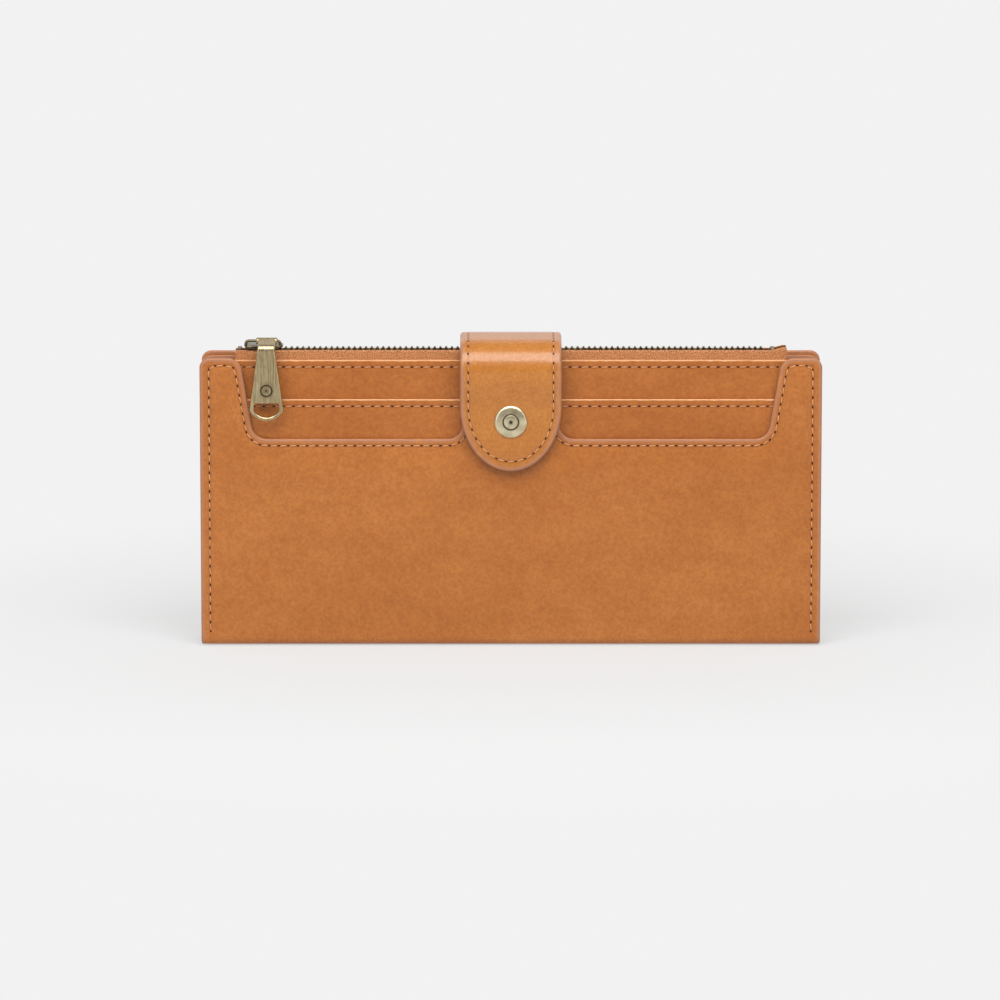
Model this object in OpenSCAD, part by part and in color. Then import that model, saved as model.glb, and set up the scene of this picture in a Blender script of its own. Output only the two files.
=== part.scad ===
// Long bifold wallet. It stands closed on its spine, X across, front face towards -Y, Z up.

/* [Covers] */
// Width of the wallet, side to side
wallet_w = 190; // [150:1:240]
// Height of the covers above the surface that the spine stands on
cover_h = 89; // [72:1:110]
// Radius of the covers' two top corners
cover_corner_r = 3; // [1:0.5:6]
// Outside radius of the two bottom folds
fold_r = 2; // [1.6:0.1:3]
// Room between the two closed covers
cover_gap = 0.8; // [0.4:0.1:2]

/* [Leathers and linings] */
// Thickness of the outer leather
outer_t = 1.2; // [0.9:0.05:1.5]
// Thickness of the card layers behind the windows and of the inner panels
layer_t = 0.6; // [0.4:0.05:0.9]
// Thickness of a card strip inside the wallet
strip_t = 0.5; // [0.3:0.05:0.8]
// Thickness of the lining cloth
lining_t = 0.25; // [0.15:0.05:0.5]
// Thickness of the stiffening board in each cover
board_t = 0.5; // [0.3:0.05:1]
// Room for a card behind each window layer
card_gap = 0.25; // [0.2:0.05:1]
// Room for a card behind each inside strip
strip_gap = 0.2; // [0.1:0.05:1]
// Room for notes in the back cover's long pocket
bill_gap = 0.4; // [0.2:0.1:2]
// How far the inner layers stop short of each side edge
edge_inset = 0.5; // [0.2:0.1:1.5]
// Room between the spine's lining and the layers that stand above it
spine_clear = 0.5; // [0.3:0.1:1]

/* [Card strips] */
// How far the highest inside strip ends below the covers' top edges
strip_drop = 12; // [8:1:20]
// Height step from one inside strip to the next
strip_step = 14; // [8:1:18]

/* [Windows] */
// From the wallet's side to a window's outer edge, at the top
window_margin = 13; // [6:0.1:20]
// Depth of the windows below the covers' top edges
window_depth = 24.9; // [18:0.1:36]
// Lean of a window's outer edge, in degrees
window_lean = 8; // [0:1:15]
// Radius of a window's outer bottom corner
window_outer_r = 4.5; // [3:0.5:8]
// Radius of a window's corner beside the tongue
window_tongue_r = 4.3; // [2:0.1:6]
// Radius where a window's outer edge meets the cover's top edge
window_shoulder_r = 4.3; // [1:0.1:6]
// How far the taller card layer ends below the covers' top edges
tall_slot_drop = 0.8; // [0:0.1:2]
// How far the lower card layer ends below the covers' top edges
low_slot_drop = 12.8; // [8:0.1:17]

/* [Closing tab] */
// Width of the tab
tab_w = 31; // [24:1:40]
// Thickness of the tab's outer leather
tab_outer_t = 1.3; // [0.9:0.1:1.8]
// Thickness of the tab's lining leather
tab_lining_t = 0.7; // [0.4:0.1:1]
// Inside radius of the tab's two bends
tab_bend_r = 1; // [0.6:0.1:2]
// Room between the tab and the front leather, where the snap sits
flap_gap = 1.5; // [1.5:0.1:3]
// Room between the zipper teeth and the tab that passes over them
bridge_gap = 1.45; // [0.3:0.05:2]
// How much narrower the tongue is than the tab, on each side
tongue_inset = 0.6; // [0:0.1:2]
// From the covers' top edges down to the snap's centre
snap_drop = 19; // [16:0.1:30]
// Length of the tab's rounded end
tab_end_l = 20; // [15:0.5:26]
// From the covers' top edges down to the end of the tab's root on the back
root_drop = 29; // [20:1:45]
// Radius of the root's two bottom corners
root_corner_r = 5; // [1:0.5:10]

/* [Snap] */
// Radius of the snap's cap
cap_r = 4.95; // [4:0.05:7]
// Height of the cap's rim above the leather
cap_rim_h = 0.35; // [0.2:0.05:0.6]
// Height of the cap's dome above its rim
cap_dome_h = 0.75; // [0.4:0.05:1.5]
// Radius of the cap's shank through the tab
cap_shank_r = 1.2; // [0.8:0.1:1.8]
// Radius of the socket's ring
socket_r = 4.2; // [3.5:0.1:6]
// Radius of the stud's bulb
stud_r = 2; // [1.6:0.1:2.6]
// Height of the stud above the front leather
stud_h = 1.3; // [1:0.1:1.4]
// Radius of the stud's foot and of the rivet's head
stud_foot_r = 3.2; // [2.6:0.1:4]
// Thickness of the stud's foot
stud_foot_t = 0.3; // [0.2:0.05:0.35]
// Thickness of the rivet's head, in the card gap behind the tongue
rivet_head_t = 0.2; // [0.1:0.05:0.2]
// Radius of the rivet's shank
rivet_r = 0.9; // [0.6:0.05:1.2]
// Running clearance between the stud's bulb and the socket
snap_clear = 0.1; // [0.05:0.05:0.2]

/* [Zipper] */
// From the wallet's side to the end of the zipper tape
tape_margin = 10.8; // [6:0.1:20]
// Thickness of the tape
tape_t = 0.4; // [0.3:0.05:0.6]
// How far the tape reaches below the covers' top edges, where it is sewn in
tape_sewn_h = 9; // [6:0.5:14]
// Height of the teeth's middle above the covers' top edges
zip_rise = 1.9; // [1.5:0.1:4]
// Depth of the zipped pocket, front to back
pocket_t = 4.8; // [4.4:0.1:8]
// Length of a tooth, across the tape
tooth_l = 1.55; // [1.2:0.05:2]
// Width of a tooth, along the tape
tooth_w = 0.8; // [0.6:0.05:0.85]
// Height of a tooth
tooth_h = 1.5; // [1.2:0.1:2]
// Distance from one tooth to the next on the same tape
tooth_pitch = 1.75; // [1.75:0.05:2.5]
// Room between the two rows, in which the slider's post runs
row_gap = 1.1; // [1:0.1:1.6]
// Width of a stop block, along the tape
stop_w = 1.4; // [1:0.1:2.5]

/* [Slider] */
// Length of the slider
slider_l = 12.2; // [10:0.1:14]
// Width of the slider's top plate at its nose
slider_w = 7.4; // [6:0.1:9]
// Width of the slider's top plate at its tail
slider_tail_w = 5.8; // [5:0.1:9]
// Thickness of the slider's two plates
plate_t = 0.8; // [0.6:0.1:1.2]
// Clearance between the slider and the teeth
slide_clear = 0.15; // [0.1:0.05:0.3]
// Thickness of the slider's post
post_t = 0.7; // [0.5:0.1:0.8]
// Radius of the bail's wire
bail_wire_r = 0.45; // [0.35:0.05:0.6]
// Half of the distance between the bail's legs, centre to centre
bail_half = 5.2; // [4.8:0.1:5.6]
// How far the bail's bar lies in front of the teeth's middle
bail_forward = 2; // [0:0.1:2.5]

/* [Pull] */
// Length of the pull's head along the bail's bar
head_l = 6; // [5:0.1:7]
// Radius of the pull's head
head_r = 1.05; // [0.95:0.05:1.4]
// Clearance between the pull's head and the bail's wire
head_clear = 0.15; // [0.05:0.05:0.2]
// How far the head sits from the middle of the bail, along its bar
head_shift = 1.2; // [-1.5:0.1:1.5]
// Thickness of the pull
pull_t = 1.3; // [1:0.1:1.8]
// Width of the pull's neck
neck_w = 5.1; // [4:0.1:6]
// Inside radius of the bend between neck and blade
neck_bend_r = 0.5; // [0.3:0.1:1]
// Length of the pull, from the bar's axis to its lower end
pull_l = 23.8; // [20:0.1:32]
// Radius of the pull's rounded end
pull_end_r = 5.7; // [4.5:0.1:7]
// Half width of the pull where the rounded end begins
pull_half_w = 5.25; // [4.2:0.05:6.5]
// Width of the finger hole
pull_hole_w = 7.6; // [5:0.1:9]
// Width of the rim around the finger hole
pull_rim = 1.25; // [0.8:0.05:2]
// Room between the hanging pull and the front leather
pull_gap = 1.5; // [1.4:0.1:3]

/* [Hidden] */
$fn = 64;

strip_count = 3;
stack_t = strip_count * (strip_gap + strip_t);

// Depths of the front cover's layers, counted inwards from its outer face
low_slot_d = outer_t + card_gap;
tall_slot_d = low_slot_d + layer_t + card_gap;
tape_outer_d = tall_slot_d + layer_t;
lining_outer_d = tape_outer_d + tape_t;
pocket_d = lining_outer_d + lining_t;
lining_inner_d = pocket_d + pocket_t;
board_d = lining_inner_d + lining_t;
sewn_t = max(tape_t, board_t);
inner_panel_d = board_d + sewn_t;
front_strips_d = inner_panel_d + layer_t;
front_stack_t = front_strips_d + stack_t;

// Depths of the back cover's layers, counted inwards from its outer face
back_board_d = outer_t;
bill_panel_d = back_board_d + board_t + bill_gap;
back_strips_d = bill_panel_d + layer_t;
back_stack_t = back_strips_d + stack_t;

body_t = front_stack_t + cover_gap + back_stack_t;
tab_t = tab_outer_t + tab_lining_t;
front_out = flap_gap + tab_t + cap_rim_h + cap_dome_h;
front_y = (front_out - tab_t - body_t) / 2;
back_y = front_y + body_t;

layer_w = wallet_w - 2 * edge_inset;
layer_z = outer_t + layer_t + spine_clear;
board_z = layer_z + 1.2;
board_w = layer_w - 8;
sewn_z = cover_h - tape_sewn_h;
inner_top_z = cover_h - 0.4;

window_x = wallet_w / 2 - window_margin;
window_z = cover_h - window_depth;
tongue_x = tab_w / 2 - tongue_inset;
snap_z = cover_h - snap_drop;
tab_end_z = snap_z - tab_w / 2 + tab_end_l;

zip_z = cover_h + zip_rise;
zip_y = front_y + (lining_outer_d + board_d) / 2;
tape_half = wallet_w / 2 - tape_margin;
slider_x = -tape_half + 8.5;
slider_left = slider_x - slider_l / 2;
teeth_x = slider_left + 3;
stop_x = tape_half - 5;
tooth_count = floor((stop_x - tooth_w - teeth_x) / tooth_pitch);

plate_low_z = zip_z + tooth_h / 2 + slide_clear;
plate_top_z = plate_low_z + plate_t;
head_z = plate_top_z + slide_clear + head_r;
bail_y = zip_y - bail_forward;
pull_x = slider_x + head_shift;
pull_y = front_y - pull_gap - pull_t;
bend_z = head_z + head_r - pull_t - neck_bend_r;
end_z = head_z - pull_l + pull_end_r;

bridge_z = zip_z + tooth_h / 2 + bridge_gap;
bend_front_y = front_y - flap_gap + tab_bend_r;
bend_back_y = back_y - tab_bend_r;
tab_bend_z = bridge_z - tab_bend_r;

OUTER = "#b5703c";
INNER = "#9c5d33";
CLOTH = "#6e4a33";
BOARD = "#8d8474";
METAL = "#a39468";
DARK_METAL = "#5b5140";

// Points along an arc, from angle a0 to a1
function arc(x, y, r, a0, a1, n = 8) =
    [for (i = [0 : n]) let (a = a0 + (a1 - a0) * i / n) [x + r * cos(a), y + r * sin(a)]];

// Points of half an ellipse that hangs below the height z
function hanging_oval(z, half_w, length, n = 40) =
    [for (i = [0 : n]) let (a = 180 + 180 * i / n) [half_w * cos(a), z + length * sin(a)]];

// Stands an outline drawn in X and Z up as a sheet that runs from y to y + t
module sheet(y, t) translate([0, y + t, 0]) rotate([90, 0, 0]) linear_extrude(t) children();

// Runs a cross-section drawn in Y and Z along X, centred on x = 0
module along_x(w) translate([-w / 2, 0, 0]) rotate([90, 0, 90]) linear_extrude(w) children();

// Turns a shape so that its own Z points out of the front, at the snap's centre
module at_snap() translate([0, front_y, snap_z]) rotate([90, 0, 0]) children();

module plain_outline(w, z0, z1) translate([-w / 2, z0]) square([w, z1 - z0]);

module top_rounded_outline(w, z0, z1, r) {
    plain_outline(w, z0, z1 - r);
    plain_outline(w - 2 * r, z0, z1);
    for (side = [-1, 1]) translate([side * (w / 2 - r), z1 - r]) circle(r);
}

// A band of a ring between two angles
module bend(r_in, t, a0, a1) {
    far = 3 * (r_in + t);
    intersection() {
        difference() {
            circle(r_in + t);
            circle(r_in);
        }
        polygon([[0, 0], far * [cos(a0), sin(a0)], far * [cos(a1), sin(a1)]]);
    }
}

// One window, on the right of the tongue, open at the top
module window_outline() {
    lean = tan(window_lean);
    outer_x = window_x - lean * (window_depth - window_outer_r) - window_outer_r;
    top = cover_h + 1;
    polygon(concat(
        [[tongue_x, top]],
        arc(tongue_x + window_tongue_r, window_z + window_tongue_r, window_tongue_r, 180, 270),
        arc(outer_x, window_z + window_outer_r, window_outer_r, 270, 360 - window_lean),
        arc(window_x + window_shoulder_r, cover_h - window_shoulder_r, window_shoulder_r,
            180 - window_lean, 90),
        [[window_x + window_shoulder_r, top]]
    ));
}

module spine_panel() color(OUTER) {
    inner_r = fold_r - outer_t;
    along_x(wallet_w) {
        translate([front_y + fold_r, 0]) square([body_t - 2 * fold_r, outer_t]);
        translate([front_y + fold_r, fold_r]) bend(inner_r, outer_t, 225, 270);
        translate([back_y - fold_r, fold_r]) bend(inner_r, outer_t, 270, 315);
    }
}

module spine_lining() color(INNER) {
    side = fold_r + spine_clear;
    along_x(layer_w) translate([front_y + side, outer_t]) square([body_t - 2 * side, layer_t]);
}

module front_panel() color(OUTER) difference() {
    union() {
        sheet(front_y, outer_t) top_rounded_outline(wallet_w, fold_r, cover_h, cover_corner_r);
        along_x(wallet_w) translate([front_y + fold_r, fold_r])
            bend(fold_r - outer_t, outer_t, 180, 225);
    }
    for (side = [0, 1]) mirror([side, 0, 0]) sheet(front_y - 1, outer_t + 2) window_outline();
    at_snap() cylinder(r = rivet_r, h = 4 * outer_t, center = true);
}

module low_card_slot() color(OUTER)
    sheet(front_y + low_slot_d, layer_t)
        plain_outline(layer_w, layer_z, cover_h - low_slot_drop);

module tall_card_slot() color(OUTER)
    sheet(front_y + tall_slot_d, layer_t)
        top_rounded_outline(layer_w, layer_z, cover_h - tall_slot_drop, cover_corner_r);

module zip_lining(d) color(CLOTH)
    sheet(front_y + d, lining_t) plain_outline(board_w, board_z, cover_h - 2);

module zip_lining_outer() zip_lining(lining_outer_d);

module zip_lining_inner() zip_lining(lining_inner_d);

// The pocket's floor and its two ends, between the two linings
module zip_gusset() color(CLOTH) {
    sheet(front_y + pocket_d, pocket_t) {
        plain_outline(board_w - 2 * lining_t, board_z, board_z + lining_t);
        for (side = [-1, 1]) translate([side * (board_w - lining_t) / 2, 0])
            plain_outline(lining_t, board_z, cover_h - 2);
    }
}

// One tape: sewn in upright, then bent over towards the teeth
module zipper_tape(d, flange_y) color(CLOTH) {
    flange_w = zip_y - row_gap / 2 - tooth_l - (front_y + lining_outer_d);
    along_x(2 * tape_half) {
        translate([front_y + d, sewn_z]) square([tape_t, zip_z + tape_t / 2 - sewn_z]);
        translate([flange_y, zip_z - tape_t / 2]) square([flange_w, tape_t]);
    }
}

module zipper_tape_outer() zipper_tape(tape_outer_d, front_y + lining_outer_d);

module zipper_tape_inner() zipper_tape(board_d, zip_y + row_gap / 2 + tooth_l);

// One row of teeth, from its first tooth at x0
module zipper_teeth(x0, y) color(DARK_METAL)
    for (i = [0 : tooth_count - 1]) translate([x0 + i * tooth_pitch, y, zip_z - tooth_h / 2])
        cube([tooth_w, tooth_l, tooth_h]);

module zipper_teeth_outer() zipper_teeth(teeth_x, zip_y - row_gap / 2 - tooth_l);

module zipper_teeth_inner() zipper_teeth(teeth_x + tooth_pitch / 2, zip_y + row_gap / 2);

// Two top stops beyond the closed slider, and one bottom stop across both rows
module zipper_stops() color(DARK_METAL) {
    low_z = zip_z - tooth_h / 2;
    for (y = [zip_y - row_gap / 2 - tooth_l, zip_y + row_gap / 2])
        translate([slider_left - 0.3 - stop_w, y, low_z]) cube([stop_w, tooth_l, tooth_h]);
    translate([stop_x, zip_y - row_gap / 2 - tooth_l, low_z])
        cube([stop_w, row_gap + 2 * tooth_l, tooth_h]);
}

// The two covers' boards share one outline, below the sewn-in tape
module stiffener(y) color(BOARD) sheet(y, board_t) plain_outline(board_w, board_z, sewn_z - 1);

module front_stiffener() stiffener(front_y + board_d);

module front_inner_panel() color(INNER)
    sheet(front_y + inner_panel_d, layer_t)
        top_rounded_outline(layer_w, layer_z, inner_top_z, cover_corner_r);

// One card strip: number 0 is the highest and lies deepest in the cover
module card_strip(y, number) color(INNER)
    sheet(y, strip_t)
        plain_outline(layer_w, layer_z, cover_h - strip_drop - number * strip_step);

module front_card_strip(number)
    card_strip(front_y + front_strips_d + strip_gap + number * (strip_gap + strip_t), number);

module front_card_strip_top() front_card_strip(0);

module front_card_strip_middle() front_card_strip(1);

module front_card_strip_bottom() front_card_strip(2);

module snap_stud() color(METAL) at_snap() difference() {
    union() {
        cylinder(r = stud_foot_r, h = stud_foot_t);
        cylinder(r = stud_r - 0.4, h = stud_h - 0.4);
        translate([0, 0, stud_h - 0.5]) cylinder(r = stud_r, h = 0.5);
    }
    translate([0, 0, -1]) cylinder(r = rivet_r, h = stud_h + 2);
}

module stud_rivet() color(METAL) at_snap() {
    translate([0, 0, -outer_t - rivet_head_t]) cylinder(r = stud_foot_r, h = rivet_head_t);
    translate([0, 0, -outer_t]) cylinder(r = rivet_r, h = outer_t + stud_h - 0.2);
}

module slider_plate_outline(nose_w, tail_w) {
    r = 1.2;
    half = slider_l / 2;
    polygon(concat(
        arc(half - r, tail_w / 2 - r, r, 0, 90),
        arc(-half + r, nose_w / 2 - r, r, 90, 180),
        arc(-half + r, -nose_w / 2 + r, r, 180, 270),
        arc(half - r, -tail_w / 2 + r, r, 270, 360)
    ));
}

// Top plate over the teeth, bottom plate inside the pocket's mouth, post between the rows
module slider_body() color(DARK_METAL) translate([slider_x, zip_y, 0]) {
    below_z = zip_z - tooth_h / 2 - slide_clear - plate_t;
    below_w = board_d - lining_outer_d - 0.6;
    translate([0, 0, plate_low_z]) linear_extrude(plate_t)
        slider_plate_outline(slider_w, slider_tail_w);
    translate([0, 0, below_z]) linear_extrude(plate_t) slider_plate_outline(below_w, below_w);
    translate([-slider_l / 2 + 0.6, -post_t / 2, below_z])
        cube([2.2, post_t, plate_top_z - below_z]);
}

// A wire loop along the slider, whose bar the pull hangs on
module slider_bail() color(DARK_METAL) translate([slider_x, bail_y, head_z]) {
    rotate([0, 90, 0]) cylinder(r = bail_wire_r, h = 2 * bail_half, center = true);
    for (side = [-1, 1]) translate([side * bail_half, 0, 0]) {
        sphere(bail_wire_r);
        translate([0, 0, plate_top_z - head_z]) cylinder(r = bail_wire_r, h = head_z - plate_top_z);
    }
}

// The blade, from the neck down to its rounded end
module blade_outline() {
    half_a = acos(pull_half_w / pull_end_r);
    polygon(concat(
        [[neck_w / 2, bend_z], [-neck_w / 2, bend_z]],
        arc(0, end_z, pull_end_r, 180 + half_a, 360 - half_a, 24)
    ));
}

module finger_hole_outline() intersection() {
    translate([0, end_z]) circle(pull_end_r - pull_rim);
    plain_outline(pull_hole_w, end_z - pull_end_r, end_z - 0.3);
}

module zipper_pull() color(METAL) translate([pull_x, 0, 0]) difference() {
    union() {
        translate([0, bail_y, head_z]) rotate([0, 90, 0])
            cylinder(r = head_r, h = head_l, center = true);
        along_x(neck_w) {
            translate([pull_y + pull_t + neck_bend_r, head_z + head_r - pull_t])
                square([bail_y - pull_y - pull_t - neck_bend_r, pull_t]);
            translate([pull_y + pull_t + neck_bend_r, bend_z]) bend(neck_bend_r, pull_t, 90, 135);
            translate([pull_y + pull_t + neck_bend_r, bend_z]) bend(neck_bend_r, pull_t, 135, 180);
        }
        sheet(pull_y, pull_t) difference() {
            blade_outline();
            finger_hole_outline();
        }
    }
    translate([0, bail_y, head_z]) rotate([0, 90, 0])
        cylinder(r = bail_wire_r + head_clear, h = head_l + 2, center = true);
}

module back_panel() color(OUTER) {
    sheet(back_y - outer_t, outer_t)
        top_rounded_outline(wallet_w, fold_r, cover_h, cover_corner_r);
    along_x(wallet_w) translate([back_y - fold_r, fold_r])
        bend(fold_r - outer_t, outer_t, 315, 360);
}

module back_stiffener() stiffener(back_y - back_board_d - board_t);

module bill_pocket_panel() color(INNER)
    sheet(back_y - bill_panel_d - layer_t, layer_t)
        plain_outline(layer_w, layer_z, inner_top_z - 3);

module back_card_strip(number)
    card_strip(back_y - back_strips_d - (number + 1) * (strip_gap + strip_t), number);

module back_card_strip_top() back_card_strip(0);

module back_card_strip_middle() back_card_strip(1);

module back_card_strip_bottom() back_card_strip(2);

// One layer of the tab's root, sewn to the back cover, up to half of the rear bend
module tab_root_layer(from_face, t) color(OUTER) {
    r = root_corner_r;
    low_z = cover_h - root_drop;
    sheet(back_y + from_face, t) {
        plain_outline(tab_w, low_z + r, tab_bend_z);
        plain_outline(tab_w - 2 * r, low_z, tab_bend_z);
        for (side = [-1, 1]) translate([side * (tab_w / 2 - r), low_z + r]) circle(r);
    }
    along_x(tab_w) translate([bend_back_y, tab_bend_z]) bend(tab_bend_r + from_face, t, 0, 45);
}

module tab_root_outer() tab_root_layer(tab_lining_t, tab_outer_t);

module tab_root_lining() tab_root_layer(0, tab_lining_t);

// One layer of the tab where it passes over the top, with half of each bend
module tab_bridge_layer(from_face, t) color(OUTER) along_x(tab_w) {
    translate([bend_front_y, bridge_z + from_face]) square([bend_back_y - bend_front_y, t]);
    translate([bend_front_y, tab_bend_z]) bend(tab_bend_r + from_face, t, 90, 135);
    translate([bend_back_y, tab_bend_z]) bend(tab_bend_r + from_face, t, 45, 90);
}

module tab_bridge_outer() tab_bridge_layer(tab_lining_t, tab_outer_t);

module tab_bridge_lining() tab_bridge_layer(0, tab_lining_t);

// One layer of the tab's hanging flap, with its round end about the snap
module tab_flap_layer(from_face, t) color(OUTER) difference() {
    union() {
        sheet(front_y - flap_gap - from_face - t, t) {
            plain_outline(tab_w, tab_end_z, tab_bend_z);
            polygon(hanging_oval(tab_end_z, tab_w / 2, tab_end_l));
        }
        along_x(tab_w) translate([bend_front_y, tab_bend_z])
            bend(tab_bend_r + from_face, t, 135, 180);
    }
    at_snap() cylinder(r = cap_shank_r, h = flap_gap + tab_t + 1);
}

module tab_flap_outer() tab_flap_layer(tab_lining_t, tab_outer_t);

module tab_flap_lining() tab_flap_layer(0, tab_lining_t);

module snap_socket() color(METAL) at_snap() difference() {
    translate([0, 0, stud_foot_t + snap_clear])
        cylinder(r = socket_r, h = flap_gap - stud_foot_t - snap_clear);
    cylinder(r = stud_r + snap_clear, h = flap_gap + 1);
}

module snap_cap() color(METAL) at_snap() {
    face = flap_gap + tab_t;
    dome_r = (cap_r * cap_r + cap_dome_h * cap_dome_h) / (2 * cap_dome_h);
    dome_z = face + cap_rim_h + cap_dome_h - dome_r;
    rotate_extrude() polygon(concat(
        [[0, stud_h + snap_clear], [cap_shank_r, stud_h + snap_clear], [cap_shank_r, face],
            [cap_r, face]],
        arc(0, dome_z, dome_r, acos(cap_r / dome_r), 90, 10)
    ));
}

spine_panel();
spine_lining();
front_panel();
low_card_slot();
tall_card_slot();
zip_lining_outer();
zip_lining_inner();
zip_gusset();
zipper_tape_outer();
zipper_tape_inner();
zipper_teeth_outer();
zipper_teeth_inner();
zipper_stops();
front_stiffener();
front_inner_panel();
front_card_strip_top();
front_card_strip_middle();
front_card_strip_bottom();
snap_stud();
stud_rivet();
slider_body();
slider_bail();
zipper_pull();
back_panel();
back_stiffener();
bill_pocket_panel();
back_card_strip_top();
back_card_strip_middle();
back_card_strip_bottom();
tab_root_outer();
tab_root_lining();
tab_bridge_outer();
tab_bridge_lining();
tab_flap_outer();
tab_flap_lining();
snap_socket();
snap_cap();
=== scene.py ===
import math

import bmesh
import bpy
import numpy as np
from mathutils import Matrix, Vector, noise
from mathutils.geometry import delaunay_2d_cdt


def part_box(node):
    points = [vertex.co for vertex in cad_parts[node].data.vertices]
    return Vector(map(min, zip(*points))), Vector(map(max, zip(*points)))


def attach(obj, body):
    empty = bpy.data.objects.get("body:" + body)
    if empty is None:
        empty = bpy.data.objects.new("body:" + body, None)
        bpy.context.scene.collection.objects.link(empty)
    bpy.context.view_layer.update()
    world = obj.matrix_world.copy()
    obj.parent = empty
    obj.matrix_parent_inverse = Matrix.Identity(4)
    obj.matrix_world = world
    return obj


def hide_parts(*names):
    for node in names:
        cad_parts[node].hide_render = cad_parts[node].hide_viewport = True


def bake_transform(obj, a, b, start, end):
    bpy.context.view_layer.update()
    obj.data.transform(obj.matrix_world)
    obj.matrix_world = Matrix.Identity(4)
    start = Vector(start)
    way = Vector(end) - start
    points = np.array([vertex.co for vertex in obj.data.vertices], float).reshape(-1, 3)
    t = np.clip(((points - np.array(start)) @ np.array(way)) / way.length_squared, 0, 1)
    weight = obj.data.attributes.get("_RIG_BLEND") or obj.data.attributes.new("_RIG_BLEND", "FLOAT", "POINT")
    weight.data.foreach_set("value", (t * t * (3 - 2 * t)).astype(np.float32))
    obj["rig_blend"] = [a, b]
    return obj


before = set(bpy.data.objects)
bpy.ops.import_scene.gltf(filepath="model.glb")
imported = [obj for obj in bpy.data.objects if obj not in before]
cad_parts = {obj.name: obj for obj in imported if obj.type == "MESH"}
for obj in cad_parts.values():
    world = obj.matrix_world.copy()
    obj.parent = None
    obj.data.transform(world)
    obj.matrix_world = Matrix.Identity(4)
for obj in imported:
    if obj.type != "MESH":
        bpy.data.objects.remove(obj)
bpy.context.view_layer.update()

MM = 0.001


# ---------------------------------------------------------------------------
# Places, in millimetres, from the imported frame
# ---------------------------------------------------------------------------

def place(node):
    """Lowest and highest corner of a CAD node, in millimetres."""
    low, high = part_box(node)
    return np.array(low) / MM, np.array(high) / MM


# Covers
FRONT_LOW, FRONT_HIGH = place("front_panel")
HALF_W = FRONT_HIGH[0]
COVER_H = FRONT_HIGH[2]
FRONT_Y = FRONT_LOW[1]
BACK_Y = place("back_panel")[1][1]
MID_Y = (FRONT_Y + BACK_Y) / 2
OUTER_T = 1.2
FOLD_R = 2.0
CORNER_R = 3.0

# Closing tab and snap
TAB_LOW, TAB_HIGH = place("tab_flap_outer")
ROOT_LOW, ROOT_HIGH = place("tab_root_outer")
TAB_HALF = TAB_HIGH[0]
TAB_T = 2.0
CAP_LOW, CAP_HIGH = place("snap_cap")
SNAP_Z = (CAP_LOW[2] + CAP_HIGH[2]) / 2

# Windows: their outer edges lean, and the tongue stands between them
WINDOW_X = HALF_W - 13.0
WINDOW_DEPTH = 24.9
WINDOW_Z = COVER_H - WINDOW_DEPTH
WINDOW_R = 4.5
SHOULDER_R = 4.3
TONGUE_X = TAB_HALF - 0.6
TONGUE_R = 4.3
LEAN = math.tan(math.radians(8))

# Seams: how far in from an edge, how far above the spine and below the top, how deep they pull
SIDE_SEAM = 2.85
EDGE_SEAM = 2.1
SEAM_FOOT = 4.2
SEAM_TOP = 2.4
SEAM_SINK = 0.13
THIN_SEAM_SINK = 0.09


# ---------------------------------------------------------------------------
# Lines, outlines and distances
# ---------------------------------------------------------------------------

def arc(x, y, r, a0, a1, steps=10):
    """Points along an arc, angles in degrees."""
    angles = np.radians(np.linspace(a0, a1, steps + 1))
    return [(x + r * math.cos(a), y + r * math.sin(a)) for a in angles]


def dense(points, step, closed=True):
    """The same line with no stretch longer than step."""
    result = []
    ends = points[1:] + points[:1] if closed else points[1:]
    for a, b in zip(points, ends):
        a, b = np.array(a, float), np.array(b, float)
        count = max(1, int(math.ceil(np.linalg.norm(b - a) / step)))
        if np.linalg.norm(b - a) < 1e-6:
            continue
        result += [tuple(a + (b - a) * i / count) for i in range(count)]
    if not closed:
        result.append(tuple(points[-1]))
    return result


def mirrored(points):
    """The same line on the other side, in the opposite order."""
    return [(-x, v) for x, v in reversed(points)]


def stretches(points, closed=True):
    """Pairs of ends, as an array, of each stretch of a line."""
    points = np.array(points, float)
    after = np.roll(points, -1, 0)
    pairs = np.stack([points, after], 1)
    return pairs if closed else pairs[:-1]


def distance(points, pairs):
    """Distance from each point to the nearest of these stretches."""
    points = np.asarray(points, float)
    if len(pairs) == 0:
        return np.full(len(points), 99.0)
    a = pairs[:, 0]
    d = pairs[:, 1] - a
    length = np.maximum((d * d).sum(1), 1e-12)
    result = np.empty(len(points))
    for i in range(0, len(points), 1500):
        p = points[i:i + 1500, None, :] - a[None]
        t = np.clip((p * d).sum(2) / length, 0, 1)
        gap = p - t[..., None] * d
        result[i:i + 1500] = np.sqrt((gap * gap).sum(2).min(1))
    return result


def sideways(along):
    """Unit directions square to these."""
    along = along / np.maximum(np.linalg.norm(along, axis=1), 1e-9)[:, None]
    return np.stack([-along[:, 1], along[:, 0]], 1)


def inside(points, loops):
    """Which points lie inside the loops, holes counted out."""
    points = np.asarray(points, float)
    hits = np.zeros(len(points), bool)
    for loop in loops:
        pairs = stretches(loop)
        for (x0, y0), (x1, y1) in pairs:
            if y0 == y1:
                continue
            crosses = (points[:, 1] > min(y0, y1)) & (points[:, 1] <= max(y0, y1))
            at = x0 + (points[:, 1] - y0) * (x1 - x0) / (y1 - y0)
            hits ^= crosses & (points[:, 0] < at)
    return hits


def smooth(low, high, value):
    """0 below low, 1 above high, and an even curve between."""
    t = np.clip((np.asarray(value, float) - low) / (high - low), 0, 1)
    return t * t * (3 - 2 * t)


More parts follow.
